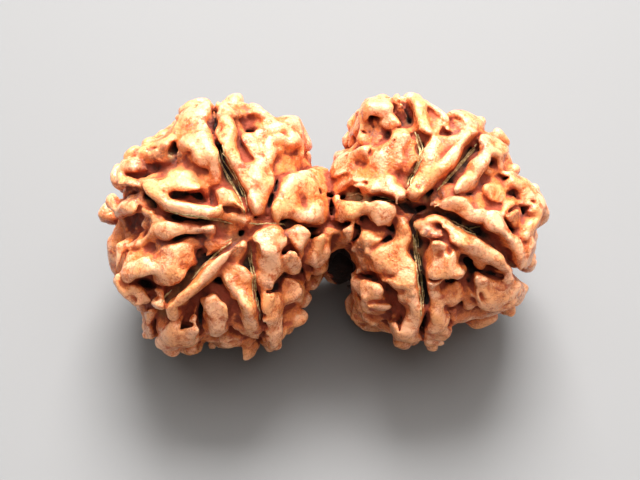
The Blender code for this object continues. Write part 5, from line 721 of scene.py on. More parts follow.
# Small round dents: radius, depth, place
DENTS = [
    (0.25, 1.4, (-6.3, 0.9)), (0.12, 1.4, (3.5, 5.85)), (0.12, 0.6, (1.5, 5.9)),
    (0.14, 0.66, (7.9, -0.35)), (0.14, 0.66, (7.3, -1.2)), (0.18, 0.42, (8.6, -2.15)),
    (0.12, 1.4, (10.9, 2.2)), (0.1, 0.36, (10.9, -4.1)), (0.12, 0.36, (12.6, -5.0)),
    (0.1, 0.78, (12.15, 3.1)), (0.1, 0.42, (-11.3, 2.4)), (0.08, 0.3, (-4.6, 5.2)),
]

# Low knobs that the stone rests on, two under each bead: row x, row y
REST_KNOBS = [(-7.0, -2.6), (-7.0, 2.4), (6.9, -2.6), (6.9, 2.4)]
REST_KNOB_HALF_WIDTH = 1.1
REST_KNOB_LENGTH = 0.1

# How a face line goes on from its seen end to the hidden pole: first and last share, points
ROUND_BACK = (0.08, 0.96, 24)

# Lips of the hidden face lines: points in each, how far off the line, points left out between
LIP_POINTS = (3, 8)
LIP_AWAY = (-0.1, 0.5)
LIP_GAP = (0, 2)

# The rule that grows ridges over the sides that the picture doesn't show
SEED = 5
GROWN_STARTS = 5000
GROWN_STEP = 0.4
GROWN_STEPS = (3, 13)
GROWN_HALF_WIDTH = (0.4, 0.7)
GROWN_GAP = 0.14
GROWN_TURN = 0.35
GROWN_EDGE = 0.34
TAKEN_STEP = 0.3


def unit(vectors):
    """The vectors at length one."""
    return vectors / np.linalg.norm(vectors, axis=-1, keepdims=True)


def view_matrix():
    """Columns are the picture frame's u, v and w in the row frame."""
    azimuth, elevation = math.radians(VIEW_AZIMUTH), math.radians(VIEW_ELEVATION)
    right = (math.cos(azimuth), math.sin(azimuth), 0.0)
    up = (
        -math.sin(azimuth) * math.sin(elevation),
        math.cos(azimuth) * math.sin(elevation),
        math.cos(elevation),
    )
    back = (
        math.sin(azimuth) * math.cos(elevation),
        -math.cos(azimuth) * math.cos(elevation),
        math.sin(elevation),
    )
    return np.array((right, up, back)).T


class Bead:
    """One bead: its outer surface, and where a point of the picture falls on it."""

    def __init__(self, centre, outline, pole):
        self.centre = np.array(centre)
        self.angles = np.radians(np.arange(0.0, 360.0, OUTLINE_STEP))
        points = np.array(outline) - centre[:2]
        angles = np.arctan2(points[:, 1], points[:, 0])
        order = np.argsort(angles)
        reach = np.interp(
            self.angles, angles[order], np.hypot(*points.T)[order], period=2 * math.pi
        )
        smoothing = np.array(OUTLINE_SMOOTHING) / sum(OUTLINE_SMOOTHING)
        self.reach = np.convolve(np.concatenate((reach[-2:], reach, reach[:2])), smoothing, "valid")
        self.pole = unit(self.seen(np.array([pole]), HIGH)[0] - self.centre)

    def crest(self, directions):
        """Radius of the outer surface along unit directions."""
        flat = np.hypot(directions[..., 0], directions[..., 1])
        angle = np.arctan2(directions[..., 1], directions[..., 0])
        reach = np.interp(angle, self.angles, self.reach, period=2 * math.pi)
        across = (flat / reach) ** ROUNDNESS
        along = (np.abs(directions[..., 2]) / HALF_THICKNESS) ** ROUNDNESS
        return (across + along) ** (-1.0 / ROUNDNESS)

    def lay(self, directions, depth):
        """Points at a depth below the outer surface."""
        directions = unit(directions)
        return self.centre + directions * (self.crest(directions) - depth)[..., None]

    def seen(self, places, depth):
        """Where the lines of sight through picture points meet the surface, sunk by depth."""
        eye = np.array(EYE)
        ends = np.column_stack((places, np.zeros(len(places))))
        along = np.linspace(*SIGHT_SEARCH)[:, None, None]
        points = eye + along * (ends - eye)
        offsets = points - self.centre
        radius = np.linalg.norm(offsets, axis=-1)
        gap = radius - (self.crest(offsets / radius[..., None]) - depth)
        first = np.where((gap < 0).any(axis=0), (gap < 0).argmax(axis=0), gap.argmin(axis=0))
        hits = offsets[first, np.arange(len(places))]
        return self.lay(hits, depth)


def drawn_ridges(bead, ridges):
    """Each drawn ridge as its points on the outer surface, half widths and crest depth."""
    found = []
    for width, depth, path in ridges:
        points = bead.seen(np.array(path), depth)
        first, last = width if isinstance(width, tuple) else (width, width)
        widths = np.linspace(first, last, len(path)) * (1.0 - points[:, 2] / EYE[2])
        widths *= RIDGE_FULLNESS
        found.append((bead.lay(points - bead.centre, HIGH), widths, depth))
    return found


def rest_knobs(bead, side):
    """The two low knobs under one bead."""
    found = []
    for x, y in REST_KNOBS:
        if math.copysign(1.0, x) != side:
            continue
        offset = np.array((x, y, -REST_HEIGHT)) @ view_matrix() - bead.centre
        points = bead.lay(np.array((offset, offset + (REST_KNOB_LENGTH, 0.0, 0.0))), HIGH)
        found.append((points, np.full(2, REST_KNOB_HALF_WIDTH), HIGH))
    return found


def groove_paths(bead, grooves):
    """The face lines, from the seen pole round to the hidden pole."""
    paths = []
    for path in grooves:
        seen = bead.seen(np.array(path), VALLEY_DEPTH)
        start = unit(seen[-1] - bead.centre)
        steps = np.linspace(*ROUND_BACK)[:, None]
        round_back = bead.lay(start * (1.0 - steps) - bead.pole * steps, HIGH)
        paths.append(np.concatenate((bead.lay(seen - bead.centre, HIGH), round_back)))
    return paths


def lip_ridges(bead, groove, first, random):
    """Short ridges in a row along both sides of the hidden stretch of a face line."""
    points = groove[first:]
    ahead = unit(np.gradient(points, axis=0))
    side = unit(np.cross(ahead, points - bead.centre))
    found = []
    for sign in (-1.0, 1.0):
        start = 0
        while start < len(points) - 2:
            end = min(start + random.integers(*LIP_POINTS), len(points))
            width = random.uniform(*GROWN_HALF_WIDTH)
            away = GROOVE_HALF_WIDTH + width + random.uniform(*LIP_AWAY, end - start)
            path = points[start:end] + side[start:end] * sign * away[:, None]
            found.append((bead.lay(path - bead.centre, HIGH), np.full(end - start, width), HIGH))
            start = end + random.integers(*LIP_GAP)
    return found


def sampled(points, step):
    """Points along a path, a step apart or closer."""
    pieces = []
    for start, end in zip(points[:-1], points[1:]):
        count = int(np.linalg.norm(end - start) / step) + 2
        pieces.append(start + (end - start) * np.linspace(0.0, 1.0, count)[:, None])
    return np.concatenate(pieces)


def grown_ridges(bead, taken, random):
    """Ridges that wander over the free, hidden part of the surface, clear of one another."""
    spots = np.concatenate([points for points, _ in taken])
    clear = np.concatenate([np.full(len(points), width) for points, width in taken])
    found = []
    for _ in range(GROWN_STARTS):
        direction = unit(random.normal(size=3))
        heading = random.normal(size=3)
        width = random.uniform(*GROWN_HALF_WIDTH)
        steps = random.integers(*GROWN_STEPS)
        turn = random.normal(scale=GROWN_TURN)
        depth = (HIGH, HIGH, UPPER, MIDDLE)[random.integers(4)]
        if direction[2] > GROWN_EDGE:
            continue
        path = []
        for _ in range(steps):
            if direction[2] > GROWN_EDGE:
                break
            place = bead.lay(direction, HIGH)
            room = np.linalg.norm(spots - place, axis=1) - clear - width
            if room.min() < GROWN_GAP:
                break
            path.append(place)
            heading = unit(heading - direction * (heading @ direction))
            heading = heading + turn * np.cross(direction, heading)
            direction = unit(place - bead.centre + GROWN_STEP * unit(heading))
        if len(path) < 2:
            continue
        path = np.array(path)
        found.append((path, np.full(len(path), width), depth))
        spots = np.concatenate((spots, path))
        clear = np.concatenate((clear, np.full(len(path), width)))
    return found


def all_ridges(bead, drawn, groove_lines, side, random):
    """Drawn ridges, knobs to rest on, lips of the hidden face lines, and grown ridges."""
    ridges = drawn_ridges(bead, drawn) + rest_knobs(bead, side)
    for drawn_groove, groove in groove_lines:
        ridges += lip_ridges(bead, groove, len(drawn_groove), random)
    taken = [(sampled(points, TAKEN_STEP), widths.mean()) for points, widths, _ in ridges]
    taken += [(sampled(groove, TAKEN_STEP), GROOVE_HALF_WIDTH) for _, groove in groove_lines]
    return ridges + grown_ridges(bead, taken, random)


# The grid that the fine surface is read from
GRID_LOW = np.array((-16.4, -10.6, -9.8))
GRID_HIGH = np.array((16.4, 10.4, 10.0))
GRID_STEP = 0.125
MOST_TRIANGLES = 188000

# How the fine surface is shaped
FINE_FULLNESS = 1.2
CREST_FLATNESS = 1.4
CORE_DEPTH = 1.5
CORE_SLOPE = 0.92
CORE_UNEVENNESS = 0.35
CORE_LUMP_SIZE = 1.6
CORE_ROOM = 1.0
BELT_RISE = 0.35
BELT_HALF_WIDTH = 0.3
PLUG_DEPTH = 4.2
WALL_FLARE = 0.12
WALL_DEPTH = 2.8
COLUMN_MARGIN = 0.6
RIDGE_BLEND = 0.08
JOIN_BLEND = 0.3
CARVE_BLEND = 0.1
HIDDEN_GROOVE_FLOOR = 2.5
HOLLOW_REACH = 1.5
DEEP = 2.4
SHALLOW = 1.05
SAUCER_TAPER = 0.6
GROOVE_FOOT = 0.08
GROOVE_OVERSHOOT = 0.8
SEEN_GROOVE_HALF_WIDTH = 0.2
FURROW_MOUTH = 1.4
DENT_MOUTH = 1.3
DENT_TAPER = 0.6
LOBE_MARGIN = 0.1
LOBE_BACK = 0.1
LOBE_BACK_LUMPS = 1.6
LOBE_ROUNDING = 0.5
LOBE_LUMPS = 0.19
LOBE_LUMP_SIZE = 1.1
SMALL_LUMPS = 0.12
SMALL_LUMP_SIZE = 0.6
HOLLOW_TAPER = 0.14
HOLLOW_ROUNDING = 0.5
WARP = 0.13
WARP_SIZE = 1.3
WRINKLE = 0.11
WRINKLE_SIZE = 0.55
PIMPLE = 0.035
PIMPLE_SIZE = 0.3
ROUGH_DEPTH = 0.25
WORN_WRINKLE = 0.3
WORN_PIMPLE = 0.4
FAR = 3.0
SEEDS = {"core": 11, "warp": 21, "wrinkle": 31, "pimple": 41, "lobe": 51, "small": 61}

# Heights at which a line of sight is tried for the fine surface: first, last, tries
SIGHT_HEIGHTS = (9.6, -6.0, 160)

# How much painted shade a point gets, darker in creases, hollows and deep places: two averages of
# the filled space, each with its reach, the height above the surface where it is read and its share,
# and then the depth below the crests
CREASE = (0.25, 0.12, 0.4)
HOLLOW = (0.75, 0.3, 0.6)
DEPTH_SHARE = 0.07
DEPTH_START = 0.6
DEPTH_RANGE = 2.5
PAINTED_FLOOR = 1.7
PAINTED_REACH = 0.9


class Grid:
    """A field on a regular grid in the picture frame."""

    def __init__(self, low, high, step):
        self.low, self.step = low, step
        self.shape = tuple(((high - low) / step).astype(int) + 1)
        self.axes = [low[i] + step * np.arange(self.shape[i]) for i in range(3)]

    def window(self, low, high):
        """The slices of a box, and its coordinates as arrays that broadcast."""
        first = np.maximum(((low - self.low) / self.step).astype(int), 0)
        last = np.minimum(((high - self.low) / self.step).astype(int) + 2, self.shape)
        cut = tuple(slice(a, b) for a, b in zip(first, last))
        spread = [
            self.axes[i][cut[i]].astype(np.float32).reshape([-1 if j == i else 1 for j in range(3)])
            for i in range(3)
        ]
        return cut, spread

    def noise(self, size, seed):
        """Smooth noise of about unit height whose bumps are size apart."""
        random = np.random.default_rng(seed)
        counts = [int((n - 1) * self.step / size) + 4 for n in self.shape]
        values = random.normal(size=counts).astype(np.float32)
        for axis, count in enumerate(counts):
            place = np.arange(self.shape[axis]) * self.step / size + 1.0
            base = place.astype(int)
            t = (place - base)[:, None]
            weights = np.zeros((self.shape[axis], count), np.float32)
            rows = np.arange(self.shape[axis])
            blends = (
                (1 - t) ** 3 / 6,
                (3 * t**3 - 6 * t**2 + 4) / 6,
                (-3 * t**3 + 3 * t**2 + 3 * t + 1) / 6,
                t**3 / 6,
            )
            for offset, blend in zip((-1, 0, 1, 2), blends):
                weights[rows, base + offset] = blend[:, 0]
            values = np.moveaxis(np.tensordot(weights, values, (1, axis)), 0, axis)
        return np.ascontiguousarray(values / values.std())

    def read(self, field, places):
        """The field's values at places, by linear steps between grid points."""
        at = np.clip((places - self.low) / self.step, 0, np.array(self.shape) - 1.001)
        base = at.astype(int)
        part = at - base
        total = np.zeros(len(places))
        for corner in range(8):
            up = np.array((corner & 1, corner >> 1 & 1, corner >> 2 & 1))
            weight = np.where(up, part, 1.0 - part).prod(axis=1)
            total += weight * field[tuple((base + up).T)]
        return total


def smooth_min(a, b, blend):
    """The smaller of two fields, rounded over a blend where they meet."""
    mix = np.clip(0.5 + 0.5 * (b - a) / blend, 0.0, 1.0)
    return b + (a - b) * mix - blend * mix * (1.0 - mix)


def smooth_max(a, b, blend):
    """The larger of two fields, rounded over a blend where they meet."""
    return -smooth_min(-a, -b, blend)


def sighted(spread):
    """Where grid points appear in the picture."""
    x, y, z = spread
    share = EYE[2] / (EYE[2] - z)
    return EYE[0] + (x - EYE[0]) * share, EYE[1] + (y - EYE[1]) * share


def near_line(u, v, start, end):
    """Squared distance of picture places from the straight line between two points."""
    (au, av), (bu, bv) = start, end
    du, dv = bu - au, bv - av
    share = np.clip(((u - au) * du + (v - av) * dv) / (du * du + dv * dv), 0.0, 1.0)
    return (u - au - share * du) ** 2 + (v - av - share * dv) ** 2


def beyond(u, v, outline):
    """How far picture places lie outside an outline, negative inside it."""
    closest = np.float32(FAR * FAR)
    inside = np.zeros(np.broadcast_shapes(u.shape, v.shape), bool)
    for start, end in zip(outline, outline[1:] + outline[:1]):
        closest = np.minimum(closest, near_line(u, v, start, end))
        (au, av), (bu, bv) = start, end
        if bv != av:
            crossing = au + (v - av) * ((bu - au) / (bv - av))
            inside ^= ((av > v) != (bv > v)) & (u < crossing)
    return np.where(inside, -1.0, 1.0) * np.sqrt(closest)


def tops_and_feet(bead, outline, depth):
    """Where an outline meets the outer surface, and the same places a depth further in."""
    tops = bead.seen(np.array(outline), HIGH)
    return tops, tops + unit(bead.centre - tops) * depth


def column(grid, bead, outline, depth, lowest=None):
    """The part of the grid that holds what stands or sinks behind an outline of the picture."""
    crown = bead.seen(np.array([np.mean(outline, axis=0)]), HIGH)
    ends = np.concatenate((*tops_and_feet(bead, outline, depth), crown))
    if lowest is not None:
        ends = np.concatenate((ends, [(*ends[0, :2], lowest)]))
    if np.abs(ends[:, 0]).min() < JOIN_REACH:
        low, high = np.min(outline, axis=0), np.max(outline, axis=0)
        ends = np.concatenate((ends, [(*low, -JOIN_REACH), (*high, 2 * JOIN_REACH)]))
    return grid.window(ends.min(axis=0) - COLUMN_MARGIN, ends.max(axis=0) + COLUMN_MARGIN)


def place_lobe(grid, field, under, lumps, bead, lobe):
    """A broad, round-edged lobe with steep sides that stands behind its outline."""
    depth, outline = lobe
    cut, spread = column(grid, bead, outline, WALL_DEPTH)
    sunk = under[cut] - depth
    wall = beyond(*sighted(spread), outline) - LOBE_MARGIN - WALL_FLARE * np.maximum(sunk, 0.0)
    if np.abs(np.array(outline)[:, 0]).min() > JOIN_REACH:
        _, feet = tops_and_feet(bead, outline, WALL_DEPTH)
        behind = feet[:, 2].min() + LOBE_BACK + LOBE_BACK_LUMPS * lumps[cut] - spread[2]
        wall = smooth_max(wall, behind, LOBE_ROUNDING)
    top = lumps[cut] - sunk
    field[cut] = smooth_min(field[cut], smooth_max(wall, top, LOBE_ROUNDING), RIDGE_BLEND)


def carve(field, cut, gap):
    """Takes away the places where gap is negative."""
    field[cut] = smooth_max(field[cut], -gap, CARVE_BLEND)


def carve_hollow(grid, field, under, bead, hollow, taper):
    """A hollow whose walls close in a little towards its floor."""
    depth, outline = hollow
    lowest = bead.seen(np.array(outline), HIGH)[:, 2].mean() - HOLLOW_REACH * depth
    reach = lowest if depth >= DEEP else None
    cut, spread = column(grid, bead, outline, depth, reach)
    wall = beyond(*sighted(spread), outline) + taper * np.maximum(under[cut], 0.0)
    gap = smooth_max(wall, under[cut] - depth, HOLLOW_ROUNDING)
    carve(field, cut, np.maximum(gap, lowest - spread[2]))


def carve_furrow(grid, field, under, bead, furrow):
    """A narrow cut along a path of the picture."""
    width, depth, path = furrow
    cut, spread = column(grid, bead, path, depth)
    u, v = sighted(spread)
    closest = np.float32(FAR * FAR)
    for start, end in zip(path[:-1], path[1:]):
        closest = np.minimum(closest, near_line(u, v, start, end))
    wall = np.sqrt(closest) - width * (FURROW_MOUTH - under[cut] / depth)
    carve(field, cut, smooth_max(wall, under[cut] - depth, width))


def carve_dent(grid, field, under, bead, dent):
    """A small round dent."""
    width, depth, (pu, pv) = dent
    cut, spread = column(grid, bead, [(pu, pv), (pu + width, pv)], depth)
    u, v = sighted(spread)
    wall = np.hypot(u - pu, v - pv) - width * (DENT_MOUTH - DENT_TAPER * under[cut] / depth)
    carve(field, cut, smooth_max(wall, under[cut] - depth, width))


def ribbon(spread, spine, inward, widths, depth, flare, flatness=1.0):
    """Signed distance to a wall: round along its spine, and running inwards to a depth."""
    x, y, z = spread
    best = None
    for i in range(len(spine) - 1):
        run = spine[i + 1] - spine[i]
        normal = unit(inward[i] + inward[i + 1])
        px, py, pz = x - spine[i][0], y - spine[i][1], z - spine[i][2]
        share = np.clip((px * run[0] + py * run[1] + pz * run[2]) / max(run @ run, 1e-9), 0.0, 1.0)
        px, py, pz = px - share * run[0], py - share * run[1], pz - share * run[2]
        along = px * normal[0] + py * normal[1] + pz * normal[2]
        sink = np.clip(along, 0.0, depth)
        width = widths[i] + share * (widths[i + 1] - widths[i]) + flare * sink
        aside = px * px + py * py + pz * pz - along * along
        past = (along - sink) * flatness
        distance = np.sqrt(np.maximum(aside + past * past, 0.0)) - width
        best = distance if best is None else np.minimum(best, distance)
    return best


def place_ridge(grid, field, bead, ridge):
    """A round-topped wall along a ridge's path."""
    points, widths, depth = ridge
    widths = widths * FINE_FULLNESS / RIDGE_FULLNESS
    inward = unit(bead.centre - points)
    spine = points + inward * (depth + widths / CREST_FLATNESS)[:, None]
    ends = np.concatenate((spine, spine + inward * WALL_DEPTH))
    margin = widths.max() + WALL_FLARE * WALL_DEPTH + RIDGE_BLEND
    cut, spread = grid.window(ends.min(axis=0) - margin, ends.max(axis=0) + margin)
    wall = ribbon(spread, spine, inward, widths, WALL_DEPTH, WALL_FLARE, CREST_FLATNESS)
    field[cut] = smooth_min(field[cut], wall, RIDGE_BLEND)


def carve_groove(grid, field, bead, path, seen_count, floor):
    """A face line: narrow and of its own depth where it is seen, wider round the back."""
    outward = unit(path - bead.centre)
    stretches = [
        (slice(0, seen_count), SEEN_GROOVE_HALF_WIDTH, floor),
        (slice(seen_count - 1, None), GROOVE_HALF_WIDTH, HIDDEN_GROOVE_FLOOR),
    ]
    if abs(path[seen_count - 1][0]) < JOIN_REACH:
        stretches.pop()
    for stretch, half_width, depth in stretches:
        flare = (half_width - GROOVE_FOOT) / depth
        way = outward[stretch]
        start = path[stretch] - way * depth
        height = depth + GROOVE_OVERSHOOT
        ends = np.concatenate((start, start + way * height))
        margin = half_width + 2 * CARVE_BLEND
        cut, spread = grid.window(ends.min(axis=0) - margin, ends.max(axis=0) + margin)
        foot = np.full(len(start), GROOVE_FOOT)
        carve(field, cut, ribbon(spread, start, way, foot, height, flare))


def blurred(field, cells):
    """The field averaged over a ball of about this many cells, by running sums."""
    for _ in range(2):
        for axis in range(3):
            before = np.repeat(field.take([0], axis), cells + 1, axis)
            after = np.repeat(field.take([-1], axis), cells, axis)
            padded = np.concatenate((before, field, after), axis)
            total = np.cumsum(padded, axis, dtype=np.float32)
            size = field.shape[axis]
            upper = total.take(range(2 * cells + 1, 2 * cells + 1 + size), axis)
            field = (upper - total.take(range(size), axis)) / (2 * cells + 1)
    return field


def bead_field(grid, bead, ridges, uneven):
    """One bead's core with its ridges, and how deep each grid point is under the outer surface."""
    field = np.full(grid.shape, FAR, np.float32)
    under = np.full(grid.shape, -FAR, np.float32)
    reach = bead.reach.max() + CORE_ROOM
    cut, spread = grid.window(bead.centre - reach, bead.centre + reach)
    offset = np.stack(np.broadcast_arrays(*[s - c for s, c in zip(spread, bead.centre)]), axis=-1)
    radius = np.linalg.norm(offset, axis=-1)
    under[cut] = bead.crest(offset / np.maximum(radius, 1e-6)[..., None]) - radius
    belt = BELT_RISE * np.exp(-((offset[..., 2] / (radius + 0.1) / BELT_HALF_WIDTH) ** 2))
    field[cut] = CORE_SLOPE * (CORE_DEPTH - belt + CORE_UNEVENNESS * uneven[cut] - under[cut])
    for ridge in ridges:
        place_ridge(grid, field, bead, ridge)
    return field, under


def warped(grid, field):
    """The field read at places pushed about a little, so that no edge runs true."""
    shifts = [grid.noise(WARP_SIZE, SEEDS["warp"] + i) * (WARP / grid.step) for i in range(3)]
    index = np.indices(grid.shape, dtype=np.float32)
    result = np.zeros(grid.shape, np.float32)
    at = [np.clip(index[i] + shifts[i], 0, grid.shape[i] - 1.001) for i in range(3)]
    base = [a.astype(np.int32) for a in at]
    part = [a - b for a, b in zip(at, base)]
    for corner in range(8):
        up = (corner & 1, corner >> 1 & 1, corner >> 2 & 1)
        weight = 1.0
        for i in range(3):
            weight = weight * (part[i] if up[i] else 1.0 - part[i])
        result += weight * field[base[0] + up[0], base[1] + up[1], base[2] + up[2]]
    return result


def ellipsoid(spread, centre, size):
    """Rough distance from a blob, negative inside it."""
    total = sum(((axis - c) / reach) ** 2 for axis, c, reach in zip(spread, centre, size))
    return (np.sqrt(total) - 1.0) * min(size)


def stone_field(grid, beads):
    """The whole stone, negative inside, and the depth under the outer surface."""
    uneven = grid.noise(CORE_LUMP_SIZE, SEEDS["core"])
    crumb_random = np.random.default_rng(SEED)
    cores = [bead_field(grid, bead, ridges, uneven) for bead, ridges, _, _ in beads]
    (left, left_under), (right, right_under) = cores
    _, spread = grid.window(grid.low, GRID_HIGH)
    heart = ellipsoid(spread, JOIN_CENTRE, JOIN_SIZE)
    field = smooth_min(left, right, JOIN_BLEND)
    field = smooth_min(field, heart + JOIN_SINK, JOIN_BLEND)
    under = np.maximum(np.maximum(left_under, right_under), -heart)
    plug = np.minimum(heart + 2 * JOIN_SINK, PLUG_DEPTH - under)
    lumps = LOBE_LUMPS * grid.noise(LOBE_LUMP_SIZE, SEEDS["lobe"])
    lumps += SMALL_LUMPS * grid.noise(SMALL_LUMP_SIZE, SEEDS["small"])
    for bead, _, _, forms in beads:
        for hollow in forms["hollows"]:
            if SHALLOW < hollow[0] < DEEP:
                carve_hollow(grid, field, under, bead, hollow, HOLLOW_TAPER)
    for bead, _, _, forms in beads:
        for lobe in forms["lobes"]:
            place_lobe(grid, field, under, lumps, bead, lobe)
    field = np.minimum(field, plug)
    for bead, _, _, forms in beads:
        for hollow in forms["hollows"]:
            if hollow[0] >= DEEP:
                carve_hollow(grid, field, under, bead, hollow, HOLLOW_TAPER)
            elif hollow[0] <= SHALLOW:
                carve_hollow(grid, field, under, bead, hollow, SAUCER_TAPER)
    # A web of stone under the arch, which stands in for the shadow seen through it and is painted in deep
    # shade
    field = np.minimum(field, ellipsoid(spread, SHADOW_WEB_CENTRE, SHADOW_WEB_SIZE))
    for bead, _, grooves, forms in beads:
        for path, seen_count, floor in grooves:
            carve_groove(grid, field, bead, path, seen_count, floor)
        for furrow in forms["furrows"]:
            carve_furrow(grid, field, under, bead, furrow)
        for dent in forms["dents"]:
            carve_dent(grid, field, under, bead, dent)
        place_crumbs(grid, field, bead, crumb_random)
    field = warped(grid, field)
    rough = np.clip(under - ROUGH_DEPTH, 0.0, 1.0)
    wrinkle = WRINKLE * (WORN_WRINKLE + (1.0 - WORN_WRINKLE) * rough)
    field += wrinkle * grid.noise(WRINKLE_SIZE, SEEDS["wrinkle"])
    pimple = PIMPLE * (WORN_PIMPLE + (1.0 - WORN_PIMPLE) * rough)
    field += pimple * grid.noise(PIMPLE_SIZE, SEEDS["pimple"])
    x, y, z = spread
    down = view_matrix()[2]
    height = x * down[0] + y * down[1] + z * down[2] + REST_HEIGHT
    return np.maximum(field, -height), under


def first_met(grid, field, places):
    """Where the lines of sight through picture places first meet the stone."""
    heights = np.linspace(*SIGHT_HEIGHTS)
    u, v = np.array(places).T
    share = (EYE[2] - heights[:, None]) / EYE[2]
    x = EYE[0] + (u - EYE[0]) * share
    y = EYE[1] + (v - EYE[1]) * share
    points = np.stack((x, y, np.broadcast_to(heights[:, None], x.shape)), axis=-1)
    values = grid.read(field, points.reshape(-1, 3)).reshape(x.shape)
    first = np.argmax(values < 0.0, axis=0)
    return points[first, np.arange(len(u))]


def place_crumbs(grid, field, bead, random):
    """Small dry crumbs in the corners, as round grains sunk halfway in."""
    side = math.copysign(1.0, bead.centre[0])
    for reach, (u, v) in CRUMBS + STRAW_CRUMBS:
        if math.copysign(1.0, u) != side:
            continue
        spots = random.normal(size=(CRUMB_COUNT, 2)) * reach * CRUMB_SCATTER + (u, v)
        sizes = random.uniform(*CRUMB_SIZE, CRUMB_COUNT)
        for centre, size in zip(first_met(grid, field, spots), sizes):
            cut, spread = grid.window(centre - CRUMB_ROOM, centre + CRUMB_ROOM)
            grain = np.sqrt(sum((axis - c) ** 2 for axis, c in zip(spread, centre))) - size
            field[cut] = smooth_min(field[cut], grain, CRUMB_BLEND)


def strand_tubes(grid, field):
    """The strands as thin closed tubes that lie on the stone: points and faces."""
    random = np.random.default_rng(SEED)
    points, faces = [], []
    turns = np.arange(STRAND_SIDES) * (2.0 * math.pi / STRAND_SIDES)
    for count, path in STRANDS:
        line = sampled(np.array(path), STRAND_STEP)
        keep = np.concatenate(([True], np.linalg.norm(np.diff(line, axis=0), axis=1) > 1e-6))
        line = line[keep]
        for number in range(count):
            first = random.integers(0, max(1, len(line) // 4)) if count > 1 else 0
            last = len(line) - (random.integers(0, max(1, len(line) // 4)) if count > 1 else 0)
            way = line[first:last]
            sway = np.cumsum(random.normal(size=(len(way), 2)) * STRAND_SWAY, axis=0)
            aside = STRAND_SPREAD * (number - (count - 1) / 2) * np.array(STRAND_ASIDE)
            met = first_met(grid, field, way + sway + aside)
            height = met[:, 2]
            for _ in range(2):
                padded = np.concatenate((height[:1], height, height[-1:]))
                height = np.maximum(height, (padded[:-2] + padded[2:]) / 2.0)
            met[:, 2] = height + STRAND_RADIUS * STRAND_LIFT
            radius = STRAND_RADIUS * random.uniform(*STRAND_THICKNESS) * np.ones(len(met))
            radius[0] = radius[-1] = STRAND_TIP
            ahead = unit(np.gradient(met, axis=0))
            across = unit(np.cross(ahead, (0.0, 0.0, 1.0)))
            rise = np.cross(across, ahead)
            ring = across[:, None] * np.cos(turns)[:, None] + rise[:, None] * np.sin(turns)[:, None]
            base = sum(len(p) for p in points)
            points.append((met[:, None] + ring * radius[:, None, None]).reshape(-1, 3))
            for i in range(len(met) - 1):
                row = base + i * STRAND_SIDES
                for j in range(STRAND_SIDES):
                    a, b = row + j, row + (j + 1) % STRAND_SIDES
                    faces.append((a, a + STRAND_SIDES, b + STRAND_SIDES, b))
            tip = base + (len(met) - 1) * STRAND_SIDES
            faces.append(tuple(base + j for j in range(STRAND_SIDES)))
            faces.append(tuple(tip + j for j in reversed(range(STRAND_SIDES))))
    return np.concatenate(points), faces


def near_places(points, normals, patches):
    """How near each seen point is to any of the patches of the picture, from 0 to 1."""
    u, v = sighted(points.T)
    share = np.zeros(len(points))
    for reach, (pu, pv) in patches:
        share = np.maximum(share, np.exp(-((u - pu) ** 2 + (v - pv) ** 2) / reach**2))
    return share * np.clip(normals[:, 2] * PATCH_SLOPE, 0.0, 1.0)


def surface(grid, field):
    """The field's zero surface as a mesh in the picture frame."""
    volume = openvdb.FloatGrid(FAR)
    volume.copyFromArray(field)
    points, _, quads = volume.convertToPolygons(isovalue=0.0, adaptivity=0.0)
    mesh = bpy.data.meshes.new("rudraksha_surface")
    mesh.vertices.add(len(points))
    mesh.vertices.foreach_set("co", (grid.low + points * grid.step).astype(np.float32).ravel())
    mesh.loops.add(quads.size)
    mesh.loops.foreach_set("vertex_index", quads.astype(np.int32).ravel())
    mesh.polygons.add(len(quads))
    mesh.polygons.foreach_set("loop_start", np.arange(0, quads.size, 4, dtype=np.int32))
    mesh.update(calc_edges=True)
    return mesh


def keep_largest_island(mesh):
    """Takes every loose part but the largest off the mesh."""
    edges = np.empty(len(mesh.edges) * 2, np.int32)
    mesh.edges.foreach_get("vertices", edges)
    edges = edges.reshape(-1, 2)
    label = np.arange(len(mesh.vertices))
    while True:
        low = np.minimum(label[edges[:, 0]], label[edges[:, 1]])
        before = label.copy()
        np.minimum.at(label, edges[:, 0], low)
        np.minimum.at(label, edges[:, 1], low)
        label = label[label]
        if (label == before).all():
            break
    names, counts = np.unique(label, return_counts=True)
    keep = label == names[counts.argmax()]
    work = bmesh.new()
    work.from_mesh(mesh)
    work.verts.ensure_lookup_table()
    loose = [work.verts[i] for i in np.flatnonzero(~keep)]
    bmesh.ops.delete(work, geom=loose, context="VERTS")
    work.to_mesh(mesh)
    work.free()


def thinned(mesh):
    """The mesh smoothed a little and brought under the triangle limit."""
    obj = bpy.data.objects.new("work", mesh)
    bpy.context.scene.collection.objects.link(obj)
    smooth = obj.modifiers.new("smooth", "SMOOTH")
    smooth.factor = 0.5
    smooth.iterations = 1
    thin = obj.modifiers.new("thin", "DECIMATE")
    thin.ratio = min(1.0, MOST_TRIANGLES / (2 * len(mesh.polygons)))
    bpy.context.view_layer.update()
    graph = bpy.context.evaluated_depsgraph_get()
    result = bpy.data.meshes.new_from_object(obj.evaluated_get(graph))
    bpy.data.objects.remove(obj)
    return result


def add_values(mesh, name, values):
    """Stores one number for each point, for the material to read."""
    attribute = mesh.attributes.new(name, "FLOAT", "POINT")
    attribute.data.foreach_set("value", values.astype(np.float32))


def to_row(points):
    """Picture-frame millimetres to row-frame metres."""
    moved = points @ view_matrix().T + (-ROW_CENTRE[0], -ROW_CENTRE[1], REST_HEIGHT)
    return moved * MM


